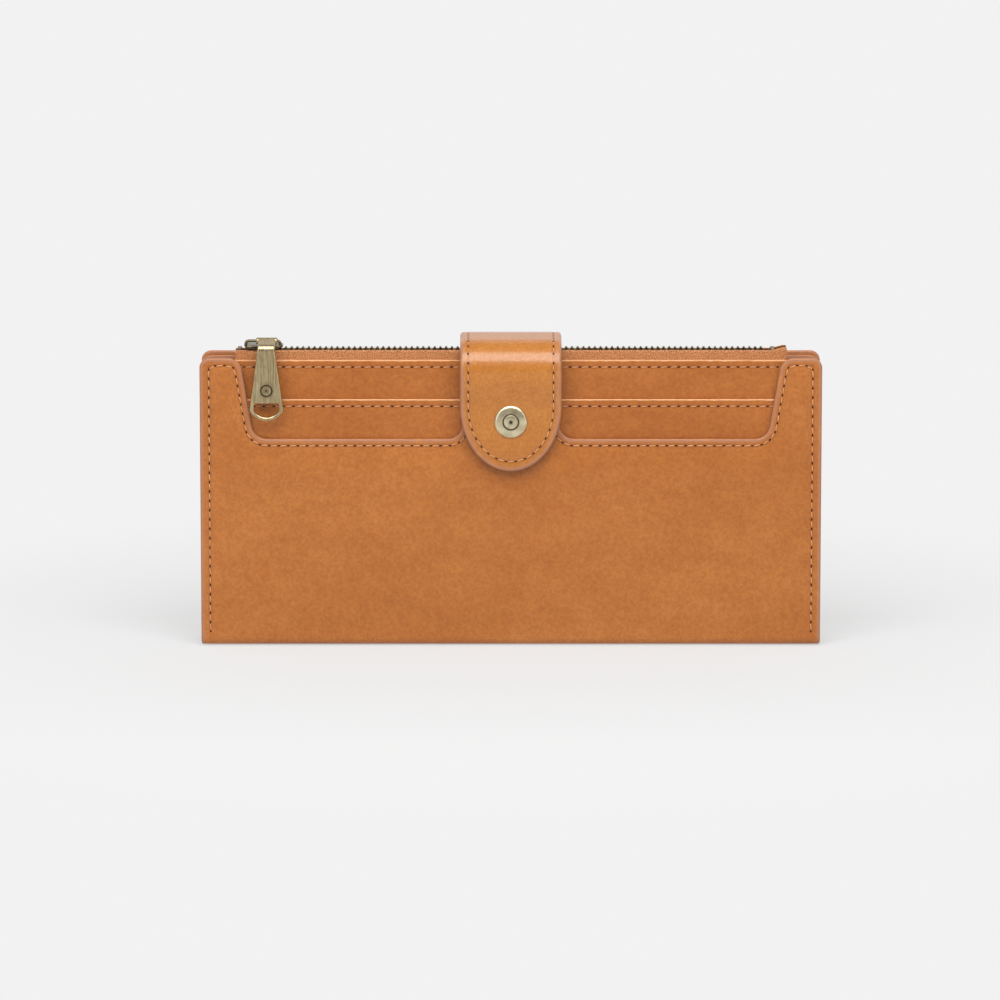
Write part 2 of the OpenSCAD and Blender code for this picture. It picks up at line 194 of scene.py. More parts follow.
class Section:
    """A cross-section line in Y and Z. Its value v runs from v0 by dv for each millimetre."""

    def __init__(self, points, v0, dv=1, side=1):
        self.points = np.array(points, float)
        steps = np.linalg.norm(np.diff(self.points, axis=0), axis=1)
        self.length = np.concatenate([[0], np.cumsum(steps)])
        tangent = np.gradient(self.points, self.length, axis=0)
        tangent /= np.linalg.norm(tangent, axis=1)[:, None]
        self.normal = side * np.stack([tangent[:, 1], -tangent[:, 0]], 1)
        self.v0, self.dv = v0, dv

    def end(self):
        """Value at the line's far end."""
        return self.v0 + self.dv * self.length[-1]

    def at(self, x, v, height):
        """Points in space for places across and along the line, at heights off it."""
        s = (np.asarray(v, float) - self.v0) / self.dv
        y, z, ny, nz = (np.interp(s, self.length, column) for column in
                        (*self.points.T, *self.normal.T))
        size = np.hypot(ny, nz)
        return np.stack([x, y + ny / size * height, z + nz / size * height], 1)

    def up(self, v):
        """Outward directions along the line."""
        zero = np.zeros(len(np.atleast_1d(v)))
        lower, upper = self.at(zero, v, zero), self.at(zero, v, zero + 1)
        return upper - lower


def upright(y, side=1, top=100):
    """A straight section at depth y, whose v is the height above the floor. Side 1 faces the front."""
    return Section([(y, z) for z in np.linspace(top, 0, 21)], top, -1, side)


def rounded_line(points, steps=8):
    """A line of (y, z, radius) corners with each corner rounded off."""
    result = []
    for i, (y, z, r) in enumerate(points):
        here = np.array([y, z], float)
        if r == 0:
            result.append(tuple(here))
            continue
        before = np.array(points[i - 1][:2], float) - here
        after = np.array(points[i + 1][:2], float) - here
        before /= np.linalg.norm(before)
        after /= np.linalg.norm(after)
        half = math.acos(np.clip(before @ after, -1, 1)) / 2
        reach = r / math.tan(half)
        centre = here + (before + after) / np.linalg.norm(before + after) * r / math.sin(half)
        first, last = here + before * reach - centre, here + after * reach - centre
        turn = math.atan2(first[0] * last[1] - first[1] * last[0], first @ last)
        for k in range(steps + 1):
            a = turn * k / steps
            c, s = math.cos(a), math.sin(a)
            result.append(tuple(centre + np.array([first[0] * c - first[1] * s,
                                                   first[0] * s + first[1] * c])))
    return dense(result, 1.2, closed=False)


def wave(points, scale, seed, size):
    """Slow unevenness, such as leather has, at points in millimetres."""
    return size * np.array([noise.noise(Vector((x * scale, v * scale, seed)))
                            for x, v in points])


# ---------------------------------------------------------------------------
# Meshes
# ---------------------------------------------------------------------------

def add_object(name, mesh):
    """The mesh as an object at the origin."""
    obj = bpy.data.objects.new(name, mesh)
    bpy.context.scene.collection.objects.link(obj)
    return obj


def set_numbers(mesh, numbers):
    """Named numbers for the finish, one for each point."""
    for key, values in numbers.items():
        mesh.attributes.new(key, "FLOAT", "POINT").data.foreach_set(
            "value", np.asarray(values, np.float32))


def set_flat_map(mesh, flat):
    """The mesh's own map, from each point's place on the flat sheet in millimetres."""
    layer = mesh.uv_layers.new(name="flat")
    corner = np.zeros(len(mesh.loops), np.int32)
    mesh.loops.foreach_get("vertex_index", corner)
    layer.data.foreach_set("uv", (np.asarray(flat, float)[corner] * MM).ravel())


def finish_edges(mesh, sharp):
    """Smooth faces, with hard edges where they meet at more than this angle."""
    mesh.shade_smooth()
    mesh.set_sharp_from_angle(angle=math.radians(sharp))


def add_piece(name, points, faces, finish, numbers=None, flat=None, sharp=45):
    """A closed piece from points in millimetres, with its numbers for the finish and its flat map."""
    mesh = bpy.data.meshes.new(name)
    mesh.from_pydata((np.asarray(points, float) * MM).tolist(), [], [list(f) for f in faces])
    set_numbers(mesh, numbers or {})
    form = bmesh.new()
    form.from_mesh(mesh)
    bmesh.ops.recalc_face_normals(form, faces=form.faces[:])
    form.to_mesh(mesh)
    form.free()
    if flat is not None:
        set_flat_map(mesh, flat)
    finish_edges(mesh, sharp)
    mesh.materials.append(finish)
    return add_object(name, mesh)


def stand_in(piece, slot, body, *nodes):
    """The piece takes these CAD nodes' place, on their body; the slot argument is not used."""
    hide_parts(*nodes)
    if body:
        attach(piece, body)


def trim(ring, gap, pairs, loops):
    """The points of a ring that keep this gap to the outlines and lie inside them."""
    return ring[(distance(ring, pairs) > gap) & inside(ring, loops)]


def rim_rows(loop, gaps, pairs, loops):
    """Rows of points along the inside of an outline, one for each gap."""
    line = np.array(loop, float)
    normal = sideways(np.roll(line, -1, 0) - np.roll(line, 1, 0))
    if not inside(line[:1] + normal[:1] * 1e-3 + (line[1:2] - line[:1]) * 1e-2, loops)[0]:
        normal = -normal
    return [trim(line + normal * gap, 0.96 * gap, pairs, loops) for gap in gaps]


def seam_rows(seam, pairs, loops):
    """Rows of points on a seam and on both sides of it."""
    line = np.array(dense(list(seam), 1.3, closed=False), float)
    normal = sideways(np.gradient(line, axis=0))
    return [trim(line + normal * gap, 0.3, pairs, loops) for gap in (-0.45, 0, 0.45)]


def field_points(loops, grid, extra):
    """A grid over the outlines' box, with extra rows at some values of v."""
    corners = np.concatenate([np.array(loop) for loop in loops])
    low, high = corners.min(0), corners.max(0)
    xs = np.arange(low[0] + grid / 2, high[0], grid)
    vs = np.unique(np.concatenate([np.arange(low[1] + grid / 2, high[1], grid), list(extra)]))
    mesh_x, mesh_v = np.meshgrid(xs, vs)
    return np.stack([mesh_x.ravel(), mesh_v.ravel()], 1)


def fill_outlines(loops, inner):
    """Places and triangles that fill the outlines, through the inner points."""
    verts, edges = [], []
    for loop in loops:
        first = len(verts)
        verts += [Vector(p) for p in loop]
        edges += [(first + i, first + (i + 1) % len(loop)) for i in range(len(loop))]
    verts += [Vector(p) for p in np.concatenate(inner)]
    out = delaunay_2d_cdt(verts, edges, [], 0, 1e-4)
    spots = np.array([tuple(p) for p in out[0]], float)
    triangles = np.array([f for f in out[2]], int)
    triangles = triangles[inside(spots[triangles].mean(1), loops)]
    used = np.unique(triangles)
    renumber = -np.ones(len(spots), int)
    renumber[used] = np.arange(len(used))
    return spots[used], renumber[triangles]


def two_sided(triangles, count):
    """Faces of a sheet: the triangles, their copies on the back, and a wall along each free edge."""
    sides = np.concatenate([triangles[:, [0, 1]], triangles[:, [1, 2]], triangles[:, [2, 0]]])
    keys = {}
    for a, b in sides:
        keys[(min(a, b), max(a, b))] = keys.get((min(a, b), max(a, b)), []) + [(a, b)]
    faces = [tuple(t) for t in triangles.tolist()]
    faces += [(c + count, b + count, a + count) for a, b, c in triangles.tolist()]
    for found in keys.values():
        if len(found) == 1:
            a, b = found[0]
            faces.append((int(b), int(a), int(a) + count, int(b) + count))
    return faces


def cut_sheet(name, loops, section, thick, finish, seams=(), lift=None, grid=2.6, step=1.0,
              roll=0.45, butt=None, rings=(), groove=SEAM_SINK, extra=(), soft=0.1, sharp=45,
              dish=None, marks=()):
    """A sheet of leather, cloth or metal cut to the loops, with rounded edges and seam grooves.

    Loops are outlines in x and v; a butt is the v at which the sheet meets its neighbour, and
    its edge stays square there. Lift moves both faces off the section line, dish only the outer.
    """
    loops = [dense(loop, step) for loop in loops]
    pairs = np.concatenate([stretches(loop) for loop in loops])
    free = pairs
    if butt is not None:
        free = pairs[~(np.abs(pairs[:, :, 1] - butt) < 1e-3).all(1)]
    r = roll * thick
    inner = []
    for loop in loops:
        inner += rim_rows(loop, [r * 0.14, r * 0.4, r * 0.75, r * 1.15, *rings], pairs, loops)
    for seam in seams:
        inner += seam_rows(seam, pairs, loops)
    seam_pairs = np.concatenate([np.zeros((0, 2, 2)),
                                 *(stretches(seam, closed=False) for seam in seams)])
    field = field_points(loops, grid, extra)
    keep = inside(field, loops) & (distance(field, pairs) > max(1.3 * r, 0.35 * grid))
    keep &= distance(field, seam_pairs) > 0.8
    if marks:
        mark_pairs = np.concatenate([stretches(mark, closed=False) for mark in marks])
        keep &= distance(field, mark_pairs) > 0.25
        inner.append(np.concatenate([np.array(mark) for mark in marks]))
    inner.append(field[keep])
    spots, triangles = fill_outlines(loops, inner)
    gap = distance(spots, free)
    seam_gap = distance(spots, seam_pairs)
    drop = np.where(gap < r, r - np.sqrt(np.maximum(r * r - (r - gap) ** 2, 0)), 0)
    top = -drop - soft * np.exp(-gap / 0.9)
    top = top - groove * np.exp(-(seam_gap / 0.42) ** 2)
    bottom = -thick + drop
    if dish is not None:
        top = top + dish(spots[:, 0], spots[:, 1])
    top = np.maximum(top, bottom + 0.02 * thick)
    shift = 0 if lift is None else lift(spots[:, 0], spots[:, 1], gap)
    upper = section.at(spots[:, 0], spots[:, 1], top + shift)
    lower = section.at(spots[:, 0], spots[:, 1], bottom + shift)
    count = len(spots)
    numbers = {"edge_gap": np.concatenate([gap, gap]),
               "seam_gap": np.concatenate([seam_gap, np.full(count, 9.0)])}
    return add_piece(name, np.concatenate([upper, lower]), two_sided(triangles, count), finish,
                     numbers, np.concatenate([spots, spots]), sharp)


def swept(name, rings, finish, sharp=50):
    """A piece lofted through rings of points, all with the same count, and closed at both ends."""
    n, count = len(rings[0]), len(rings)
    faces = []
    for i in range(count - 1):
        a, b = i * n, (i + 1) * n
        for k in range(n):
            faces.append((a + k, a + (k + 1) % n, b + (k + 1) % n, b + k))
    faces.append(tuple(range(n - 1, -1, -1)))
    faces.append(tuple((count - 1) * n + k for k in range(n)))
    return add_piece(name, np.concatenate(rings), faces, finish, sharp=sharp)


def turned(name, outline, origin, axis, finish, segments=72, sharp=40, number=None):
    """A piece turned on a lathe. The outline is (radius, height) from the axis out and back to it."""
    axis = Vector(axis).normalized()
    side = axis.orthogonal().normalized()
    other = axis.cross(side)
    points, faces, values, rows = [], [], [], []
    for r, h in outline:
        around = segments if r > 1e-6 else 1
        rows.append(list(range(len(points), len(points) + around)))
        values += [number(r, h) if number else 0.0] * around
        for k in range(around):
            a = 2 * math.pi * k / segments
            points.append(Vector(origin) + side * (r * math.cos(a)) + other * (r * math.sin(a))
                          + axis * h)
    closed = len(rows[0]) > 1
    following = rows[1:] + ([rows[0]] if closed else [])
    for a, b in zip(rows, following):
        for k in range(segments):
            m = (k + 1) % segments
            if len(a) == 1:
                faces.append((a[0], b[m], b[k]))
            elif len(b) == 1:
                faces.append((a[k], a[m], b[0]))
            else:
                faces.append((a[k], a[m], b[m], b[k]))
    return add_piece(name, [tuple(p) for p in points], faces, finish, {"hollow": values},
                     None, sharp)


def joined(name, *objs):
    """Several pieces made one."""
    form = bmesh.new()
    finishes = []
    for obj in objs:
        mesh = obj.data
        shift = len(finishes)
        finishes += [m for m in mesh.materials]
        for face in mesh.polygons:
            face.material_index += shift
        form.from_mesh(mesh)
        bpy.data.objects.remove(obj)
    mesh = bpy.data.meshes.new(name)
    form.to_mesh(mesh)
    form.free()
    for finish in finishes:
        mesh.materials.append(finish)
    return add_object(name, mesh)


# ---------------------------------------------------------------------------
# Finishes
# ---------------------------------------------------------------------------

class Amount:
    """A value in a finish. Sums and products of amounts add their own nodes."""

    def __init__(self, finish, socket):
        self.finish, self.socket = finish, socket

    def step(self, operation, *values):
        return self.finish.node("ShaderNodeMath", {"operation": operation},
                                dict(enumerate(values)))

    def __add__(self, other):
        return self.step("ADD", self, other)

    __radd__ = __add__

    def __sub__(self, other):
        return self.step("SUBTRACT", self, other)

    def __rsub__(self, other):
        return self.step("SUBTRACT", other, self)

    def __mul__(self, other):
        return self.step("MULTIPLY", self, other)

    __rmul__ = __mul__

    def sine(self):
        return self.step("SINE", self)

    def between(self, low, high):
        """0 below low, 1 above high, and an even curve between."""
        return self.finish.node("ShaderNodeMapRange", {"interpolation_type": "SMOOTHSTEP"},
                                {0: self, 1: low, 2: high, 3: 0.0, 4: 1.0})


class Finish:
    """One material, built node by node."""

    def __init__(self, name):
        self.material = bpy.data.materials.new(name)
        self.material.use_nodes = True
        self.tree = self.material.node_tree
        self.tree.nodes.clear()

    def node(self, kind, settings=None, inputs=None, out=0):
        """Adds a node: its settings first, then the values or links of its sockets."""
        made = self.tree.nodes.new(kind)
        for key, value in (settings or {}).items():
            if key == "stops":
                ramp = made.color_ramp
                while len(ramp.elements) < len(value):
                    ramp.elements.new(0.5)
                for element, (at, colour) in zip(ramp.elements, value):
                    element.position = at
                    element.color = (*colour, 1.0)
            else:
                setattr(made, key, value)
        for key, value in (inputs or {}).items():
            if isinstance(value, Amount):
                self.tree.links.new(value.socket, made.inputs[key])
            elif isinstance(value, (tuple, list)) and len(value) == 3 \
                    and made.inputs[key].type == "RGBA":
                made.inputs[key].default_value = (*value, 1.0)
            else:
                made.inputs[key].default_value = value
        return Amount(self, made.outputs[out]) if len(made.outputs) else None

    def spot(self, scale=(1, 1, 1), turn=(0, 0, 0)):
        """The place on the object, in metres, stretched by scale."""
        where = self.node("ShaderNodeTexCoord", out="Object")
        return self.node("ShaderNodeMapping", {"vector_type": "POINT"},
                         {"Vector": where, "Scale": scale, "Rotation": turn})

    def clouds(self, where, scale, detail=3.0, rough=0.55):
        return self.node("ShaderNodeTexNoise", {"noise_dimensions": "3D"},
                         {"Vector": where, "Scale": scale, "Detail": detail,
                          "Roughness": rough})

    def cells(self, where, scale, feature="F1"):
        return self.node("ShaderNodeTexVoronoi", {"feature": feature},
                         {"Vector": where, "Scale": scale})

    def number(self, name):
        return self.node("ShaderNodeAttribute", {"attribute_name": name}, out="Fac")

    def mix(self, factor, a, b):
        """Colour a where the factor is 0, colour b where it is 1."""
        return self.node("ShaderNodeMix", {"data_type": "RGBA"}, {0: factor, 6: a, 7: b}, out=2)

    def darken(self, colour, factor, shade):
        """The colour multiplied by shade where the factor is 1."""
        return self.node("ShaderNodeMix", {"data_type": "RGBA", "blend_type": "MULTIPLY"},
                         {0: factor, 6: colour, 7: shade}, out=2)

    def bump(self, height, strength, depth, normal=None):
        inputs = {"Height": height, "Strength": strength, "Distance": depth}
        if normal is not None:
            inputs["Normal"] = normal
        return self.node("ShaderNodeBump", {}, inputs)

    def surface(self, **inputs):
        """The shader itself; constants are set on it directly."""
        names = {key.replace("_", " "): value for key, value in inputs.items()}
        shader = self.node("ShaderNodeBsdfPrincipled", {}, names)
        self.node("ShaderNodeOutputMaterial", {}, {"Surface": shader})
        return self.material


def leather_finish(name, base, deep, pale, paint, rough=0.42, coat=0.16, edge=(0.6, 1.5),
                   gloss=0.3):
    """Smooth waxed hide: slow mottling, fine grain, painted edges and painted shade along the seam crease.
    """
    f = Finish(name)
    spot = f.spot()
    slow = f.clouds(spot, 26.0, 2.0).between(0.3, 0.7)
    streak = f.clouds(f.spot((1, 1, 2.2)), 75.0, 4.0, 0.6).between(0.32, 0.72)
    mottle = f.clouds(spot, 330.0, 4.0, 0.7).between(0.34, 0.68)
    fine = f.clouds(spot, 1100.0, 3.0, 0.65)
    specks = f.clouds(spot, 620.0, 2.0, 0.7).between(0.58, 0.75)
    colour = f.mix(slow * 0.5 + streak * 0.3, deep, base)
    colour = f.mix((streak * slow) * 0.3 + mottle * 0.2, colour, pale)
    colour = f.darken(colour, specks * 0.35, (0.78, 0.68, 0.60))
    colour = f.darken(colour, fine.between(0.38, 0.64) * 0.75, (0.80, 0.72, 0.64))
    edge_gap = f.number("edge_gap")
    # Painted shade: the colour darkens along each seam, where the crease would lie in shadow.
    seam_shade = 1 - f.number("seam_gap").between(0.15, 0.75)
    colour = f.darken(colour, seam_shade * 0.55, (0.62, 0.5, 0.42))
    wobble = (f.clouds(spot, 420.0, 2.0) - 0.5) * 0.6
    painted = 1 - (edge_gap + wobble).between(*edge)
    worn = painted * f.clouds(spot, 160.0, 3.0).between(0.5, 0.72) * 0.5
    colour = f.mix(painted * 0.85, colour, paint)
    colour = f.mix(worn, colour, pale)
    pores = f.cells(spot, 1500.0)
    wrinkle = f.clouds(f.spot((1, 1, 1.6)), 480.0, 4.0, 0.62)
    height = pores * 0.4 + wrinkle * 0.8 + fine * 0.25
    normal = f.bump(height, 0.2, 0.00024)
    normal = f.bump(f.clouds(spot, 60.0, 2.0), 0.12, 0.0012, normal)
    roughness = slow * 0.05 + fine * 0.12 + painted * 0.08 + (rough - 0.09)
    return f.surface(Base_Color=colour, Roughness=roughness, Normal=normal,
                     Coat_Weight=coat, Coat_Roughness=gloss, Specular_IOR_Level=0.4)


def cloth_finish(name, base, deep, pale, pitch=0.5, rough=0.85, strength=0.55):
    """Woven cloth on the piece's own flat map: two sets of yarns and their fuzz."""
    f = Finish(name)
    flat = f.node("ShaderNodeUVMap", {"uv_map": "flat"})
    u = f.node("ShaderNodeSeparateXYZ", {}, {0: flat}, out=0)
    v = f.node("ShaderNodeSeparateXYZ", {}, {0: flat}, out=1)
    turn = 2 * math.pi / (pitch * MM)
    spot = f.spot()
    wobble = f.clouds(spot, 700.0, 2.0) * 2.2
    warp = ((u + v * 0.5) * turn + wobble).sine()
    weft = ((v - u * 0.5) * turn + wobble).sine()
    yarn = (warp * weft * 0.5 + 0.5)
    fuzz = f.clouds(spot, 3200.0, 3.0, 0.7)
    speck = f.clouds(spot, 4200.0, 1.0, 0.5).between(0.42, 0.60)
    colour = f.mix(yarn * 0.7 + fuzz * 0.3, deep, base)
    colour = f.mix(speck * yarn, colour, pale)
    normal = f.bump(yarn + fuzz * 0.5, strength, 0.00016)
    return f.surface(Base_Color=colour, Roughness=fuzz * 0.1 + (rough - 0.05), Normal=normal,
                     Specular_IOR_Level=0.25, Sheen_Weight=0.25, Sheen_Roughness=0.5)


def metal_finish(name, base, dark, bright, rough=0.32, stretch=(9, 9, 0.6), edge=0.35):
    """Antiqued brass: brushed streaks, patina in the hollows and bright worn rims."""
    f = Finish(name)
    brushed = f.clouds(f.spot(stretch), 260.0, 3.0, 0.6)
    cloud = f.clouds(f.spot(), 420.0, 3.0, 0.6)
    pits = f.clouds(f.spot(), 2400.0, 2.0, 0.7)
    colour = f.mix(brushed.between(0.3, 0.75), base, bright)
    colour = f.darken(colour, cloud.between(0.48, 0.75) * 0.5, (0.62, 0.58, 0.5))
    colour = f.mix(f.number("hollow"), colour, dark)
    rim = 1 - f.number("edge_gap").between(edge * 0.4, edge)
    rim = rim * f.number("has_rim")
    colour = f.mix(rim * 0.7, colour, bright)
    roughness = brushed * 0.18 + cloud * 0.12 + (rough - 0.13)
    roughness = roughness - rim * 0.08 + f.number("hollow") * 0.25
    normal = f.bump(brushed * 0.7 + pits * 0.3, 0.16, 0.00012)
    return f.surface(Base_Color=colour, Metallic=1.0, Roughness=roughness, Normal=normal)


def plain_finish(name, base, deep, scale=600.0, rough=0.7, strength=0.3, stretch=(1, 1, 1)):
    """A fibrous matt surface, as board and thread have."""
    f = Finish(name)
    fibre = f.clouds(f.spot(stretch), scale, 4.0, 0.65)
    cloud = f.clouds(f.spot(), scale * 0.2, 2.0)
    colour = f.mix(fibre.between(0.3, 0.7) * 0.7 + cloud * 0.3, deep, base)
    normal = f.bump(fibre, strength, 0.00012)
    return f.surface(Base_Color=colour, Roughness=fibre * 0.12 + (rough - 0.06), Normal=normal,
                     Specular_IOR_Level=0.3)


PAINT = (0.37, 0.155, 0.078)
OUTER_LEATHER = leather_finish("outer_leather", (0.420, 0.137, 0.0200), (0.362, 0.108, 0.013),
                               (0.50, 0.19, 0.042), PAINT)
# The slots' edge colour is much paler than the outer edge paint: edge paint plus a painted highlight along
# the slots' upward-facing top edges.
SLOT_LEATHER = leather_finish("slot_leather", (0.395, 0.120, 0.0140), (0.340, 0.095, 0.009),
                              (0.47, 0.165, 0.03), (0.70, 0.36, 0.17), rough=0.44,
                              edge=(0.25, 0.55))
TAB_LEATHER = leather_finish("tab_leather", (0.455, 0.160, 0.0140), (0.400, 0.130, 0.010),
                             (0.54, 0.215, 0.035), PAINT, rough=0.38, coat=0.6,
                             edge=(0.8, 1.7), gloss=0.16)
INNER_LEATHER = leather_finish("inner_leather", (0.36, 0.135, 0.038), (0.30, 0.105, 0.028),
                               (0.43, 0.18, 0.06), (0.40, 0.18, 0.10), rough=0.5, coat=0.08)
TAPE_CLOTH = cloth_finish("tape_cloth", (0.50, 0.175, 0.050), (0.13, 0.038, 0.011),
                          (0.88, 0.40, 0.16), 0.42)
LINING_CLOTH = cloth_finish("lining_weave", (0.25, 0.122, 0.062), (0.17, 0.078, 0.038),
                            (0.33, 0.18, 0.10), 0.42, strength=0.4)
THREAD = plain_finish("waxed_thread", (0.66, 0.34, 0.155), (0.46, 0.20, 0.08), 2400.0, 0.5,
                      0.5)
# Near-black needle holes: painted shade standing in for the dark inside each hole.
HOLE_SHADE = plain_finish("needle_hole_shade", (0.03, 0.01, 0.005), (0.012, 0.004, 0.003), 2000.0, 0.9)
BOARD = plain_finish("grey_board", (0.42, 0.36, 0.28), (0.33, 0.28, 0.21), 500.0, 0.9, 0.3,
                     (1, 1, 2.5))
PULL_METAL = metal_finish("pull_brass", (0.34, 0.245, 0.118), (0.03, 0.022, 0.014),
                          (0.60, 0.50, 0.31), rough=0.3)
SNAP_METAL = metal_finish("snap_brass", (0.56, 0.47, 0.29), (0.035, 0.025, 0.016),
                          (0.76, 0.68, 0.47), rough=0.28, stretch=(1, 1, 1))
SLIDER_METAL = metal_finish("slider_brass", (0.062, 0.046, 0.026), (0.012, 0.009, 0.006),
                            (0.22, 0.17, 0.095), rough=0.3, stretch=(1, 1, 1))
TEETH_METAL = metal_finish("teeth_brass", (0.085, 0.06, 0.032), (0.015, 0.011, 0.007),
                           (0.27, 0.205, 0.11), rough=0.34, stretch=(1, 1, 1))


# ---------------------------------------------------------------------------
# Stitches and teeth
# ---------------------------------------------------------------------------

class Steps:
    """A geometry tree with named inputs, the geometry itself and its finish among them."""

    def __init__(self, name, inputs):
        self.tree = bpy.data.node_groups.new(name, "GeometryNodeTree")
        face = self.tree.interface
        face.new_socket(name="Geometry", in_out="OUTPUT", socket_type="NodeSocketGeometry")
        self.names = {}
        for label, kind in {"Geometry": "Geometry", **inputs, "Finish": "Material"}.items():
            made = face.new_socket(name=label, in_out="INPUT", socket_type="NodeSocket" + kind)
            self.names[label] = made.identifier
        self.start = self.tree.nodes.new("NodeGroupInput")
        self.stop = self.tree.nodes.new("NodeGroupOutput")

    def given(self, label):
        return self.start.outputs[label]

    def add(self, kind, settings=None, inputs=None):
        made = self.tree.nodes.new(kind)
        for key, value in (settings or {}).items():
            setattr(made, key, value)
        for key, value in (inputs or {}).items():
            if isinstance(value, bpy.types.NodeSocket):
                self.tree.links.new(value, made.inputs[key])
            else:
                made.inputs[key].default_value = value
        return made.outputs

    def times(self, value, factor):
        return self.add("ShaderNodeMath", {"operation": "MULTIPLY"}, {0: value, 1: factor})[0]

    def stored(self, name):
        """Directions that are stored on the mesh under this name."""
        return self.add("GeometryNodeInputNamedAttribute", {"data_type": "FLOAT_VECTOR"},
                        {"Name": name})[0]

    def facing(self, way):
        """The turn that puts X along this way and Z outwards."""
        return self.add("FunctionNodeAxesToRotation",
                        {"primary_axis": "X", "secondary_axis": "Z"},
                        {"Primary Axis": way, "Secondary Axis": self.stored("up")})[0]

    def paced_line(self):
        """The wire as a curve with a point at each pitch."""
        line = self.add("GeometryNodeMeshToCurve", {}, {"Mesh": self.given("Geometry")})[0]
        return self.add("GeometryNodeResampleCurve", {"mode": "LENGTH"},
                        {"Curve": line, "Length": self.given("Pitch")})[0]

    def end(self, inputs):
        """Copies laid on points, made real and painted."""
        laid = self.add("GeometryNodeInstanceOnPoints", {}, inputs)[0]
        real = self.add("GeometryNodeRealizeInstances", {}, {0: laid})[0]
        painted = self.add("GeometryNodeSetMaterial", {},
                           {"Geometry": real, "Material": self.given("Finish")})[0]
        self.tree.links.new(painted, self.stop.inputs[0])
        return self

    def run(self, obj, values):
        """The object's mesh after this tree, as a plain mesh piece of the same name."""
        modifier = obj.modifiers.new("steps", "NODES")
        modifier.node_group = self.tree
        for label, value in values.items():
            modifier[self.names[label]] = value
        name = obj.name
        graph = bpy.context.evaluated_depsgraph_get()
        mesh = bpy.data.meshes.new_from_object(obj.evaluated_get(graph))
        old = obj.data
        bpy.data.objects.remove(obj)
        bpy.data.meshes.remove(old)
        for extra in [a.name for a in mesh.attributes
                      if a.name in ("up", "along", "radius", "id")]:
            mesh.attributes.remove(mesh.attributes[extra])
        finish_edges(mesh, 50)
        return add_object(name, mesh)


def thread_steps():
    """Stitches laid end to end along a line."""
    s = Steps("stitches", {"Pitch": "Float", "Length": "Float", "Thickness": "Float",
                           "Rise": "Float", "Slant": "Float"})
    wire = s.add("GeometryNodeCurveToMesh", {}, {"Curve": s.paced_line()})[0]
    ends = s.add("GeometryNodeInputMeshEdgeVertices")
    along = s.add("ShaderNodeVectorMath", {"operation": "SUBTRACT"},
                  {0: ends["Position 2"], 1: ends["Position 1"]})[0]
    wire = s.add("GeometryNodeStoreNamedAttribute",
                 {"data_type": "FLOAT_VECTOR", "domain": "EDGE"},
                 {"Geometry": wire, "Name": "along", "Value": along})[0]
    spots = s.add("GeometryNodeMeshToPoints", {"mode": "EDGES"}, {"Mesh": wire})[0]
    half = s.times(s.given("Length"), 0.5)
    under = s.times(s.given("Thickness"), -0.7)
    first = s.add("ShaderNodeCombineXYZ", {},
                  {0: s.times(half, -1.0), 1: s.times(s.given("Slant"), -1.0), 2: under})[0]
    middle = s.add("ShaderNodeCombineXYZ", {}, {2: s.given("Rise")})[0]
    last = s.add("ShaderNodeCombineXYZ", {}, {0: half, 1: s.given("Slant"), 2: under})[0]
    bow = s.add("GeometryNodeCurveQuadraticBezier", {},
                {"Resolution": 6, "Start": first, "Middle": middle, "End": last})[0]
    ring = s.add("GeometryNodeCurvePrimitiveCircle", {"mode": "RADIUS"},
                 {"Resolution": 6, "Radius": s.times(s.given("Thickness"), 0.5)})[0]
    stitch = s.add("GeometryNodeCurveToMesh", {},
                   {"Curve": bow, "Profile Curve": ring, "Fill Caps": True})[0]
    return s.end({"Points": spots, "Instance": stitch, "Rotation": s.facing(s.stored("along"))})


def hole_steps():
    """A needle hole at each end of the stitches along a line."""
    s = Steps("needle_holes", {"Pitch": "Float", "Size": "Vector"})
    way = s.add("GeometryNodeInputTangent")[0]
    dot = s.add("GeometryNodeMeshIcoSphere", {}, {"Radius": 1.0, "Subdivisions": 2})[0]
    return s.end({"Points": s.paced_line(), "Instance": dot, "Rotation": s.facing(way),
                  "Scale": s.given("Size")})


def row_steps():
    """The object's own mesh repeated along a straight row."""
    s = Steps("row", {"Count": "Int", "Pitch": "Float"})
    way = s.add("ShaderNodeCombineXYZ", {}, {0: s.given("Pitch")})[0]
    line = s.add("GeometryNodeMeshLine", {"mode": "OFFSET"},
                 {"Count": s.given("Count"), "Offset": way})[0]
    return s.end({"Points": line, "Instance": s.given("Geometry")})


THREAD_STEPS, HOLE_STEPS, ROW_STEPS = thread_steps(), hole_steps(), row_steps()
STITCH_SHARE = 0.74     # of the pitch, the rest being the gap at the needle hole
STITCH_SLANT = 0.09
HOLE_SIZE = (0.44, 0.26, 0.12)


def seam_lines(name, lines):
    """Lines in space with their outward directions, as one wire object."""
    points, edges, ups = [], [], []
    for line, directions in lines:
        first = len(points)
        points += [tuple(p) for p in np.asarray(line) * MM]
        ups += [tuple(d) for d in directions]
        edges += [(first + i, first + i + 1) for i in range(len(line) - 1)]
    mesh = bpy.data.meshes.new(name)
    mesh.from_pydata(points, edges, [])
    mesh.attributes.new("up", "FLOAT_VECTOR", "POINT").data.foreach_set(
        "vector", np.asarray(ups, np.float32).ravel())
    return add_object(name, mesh)


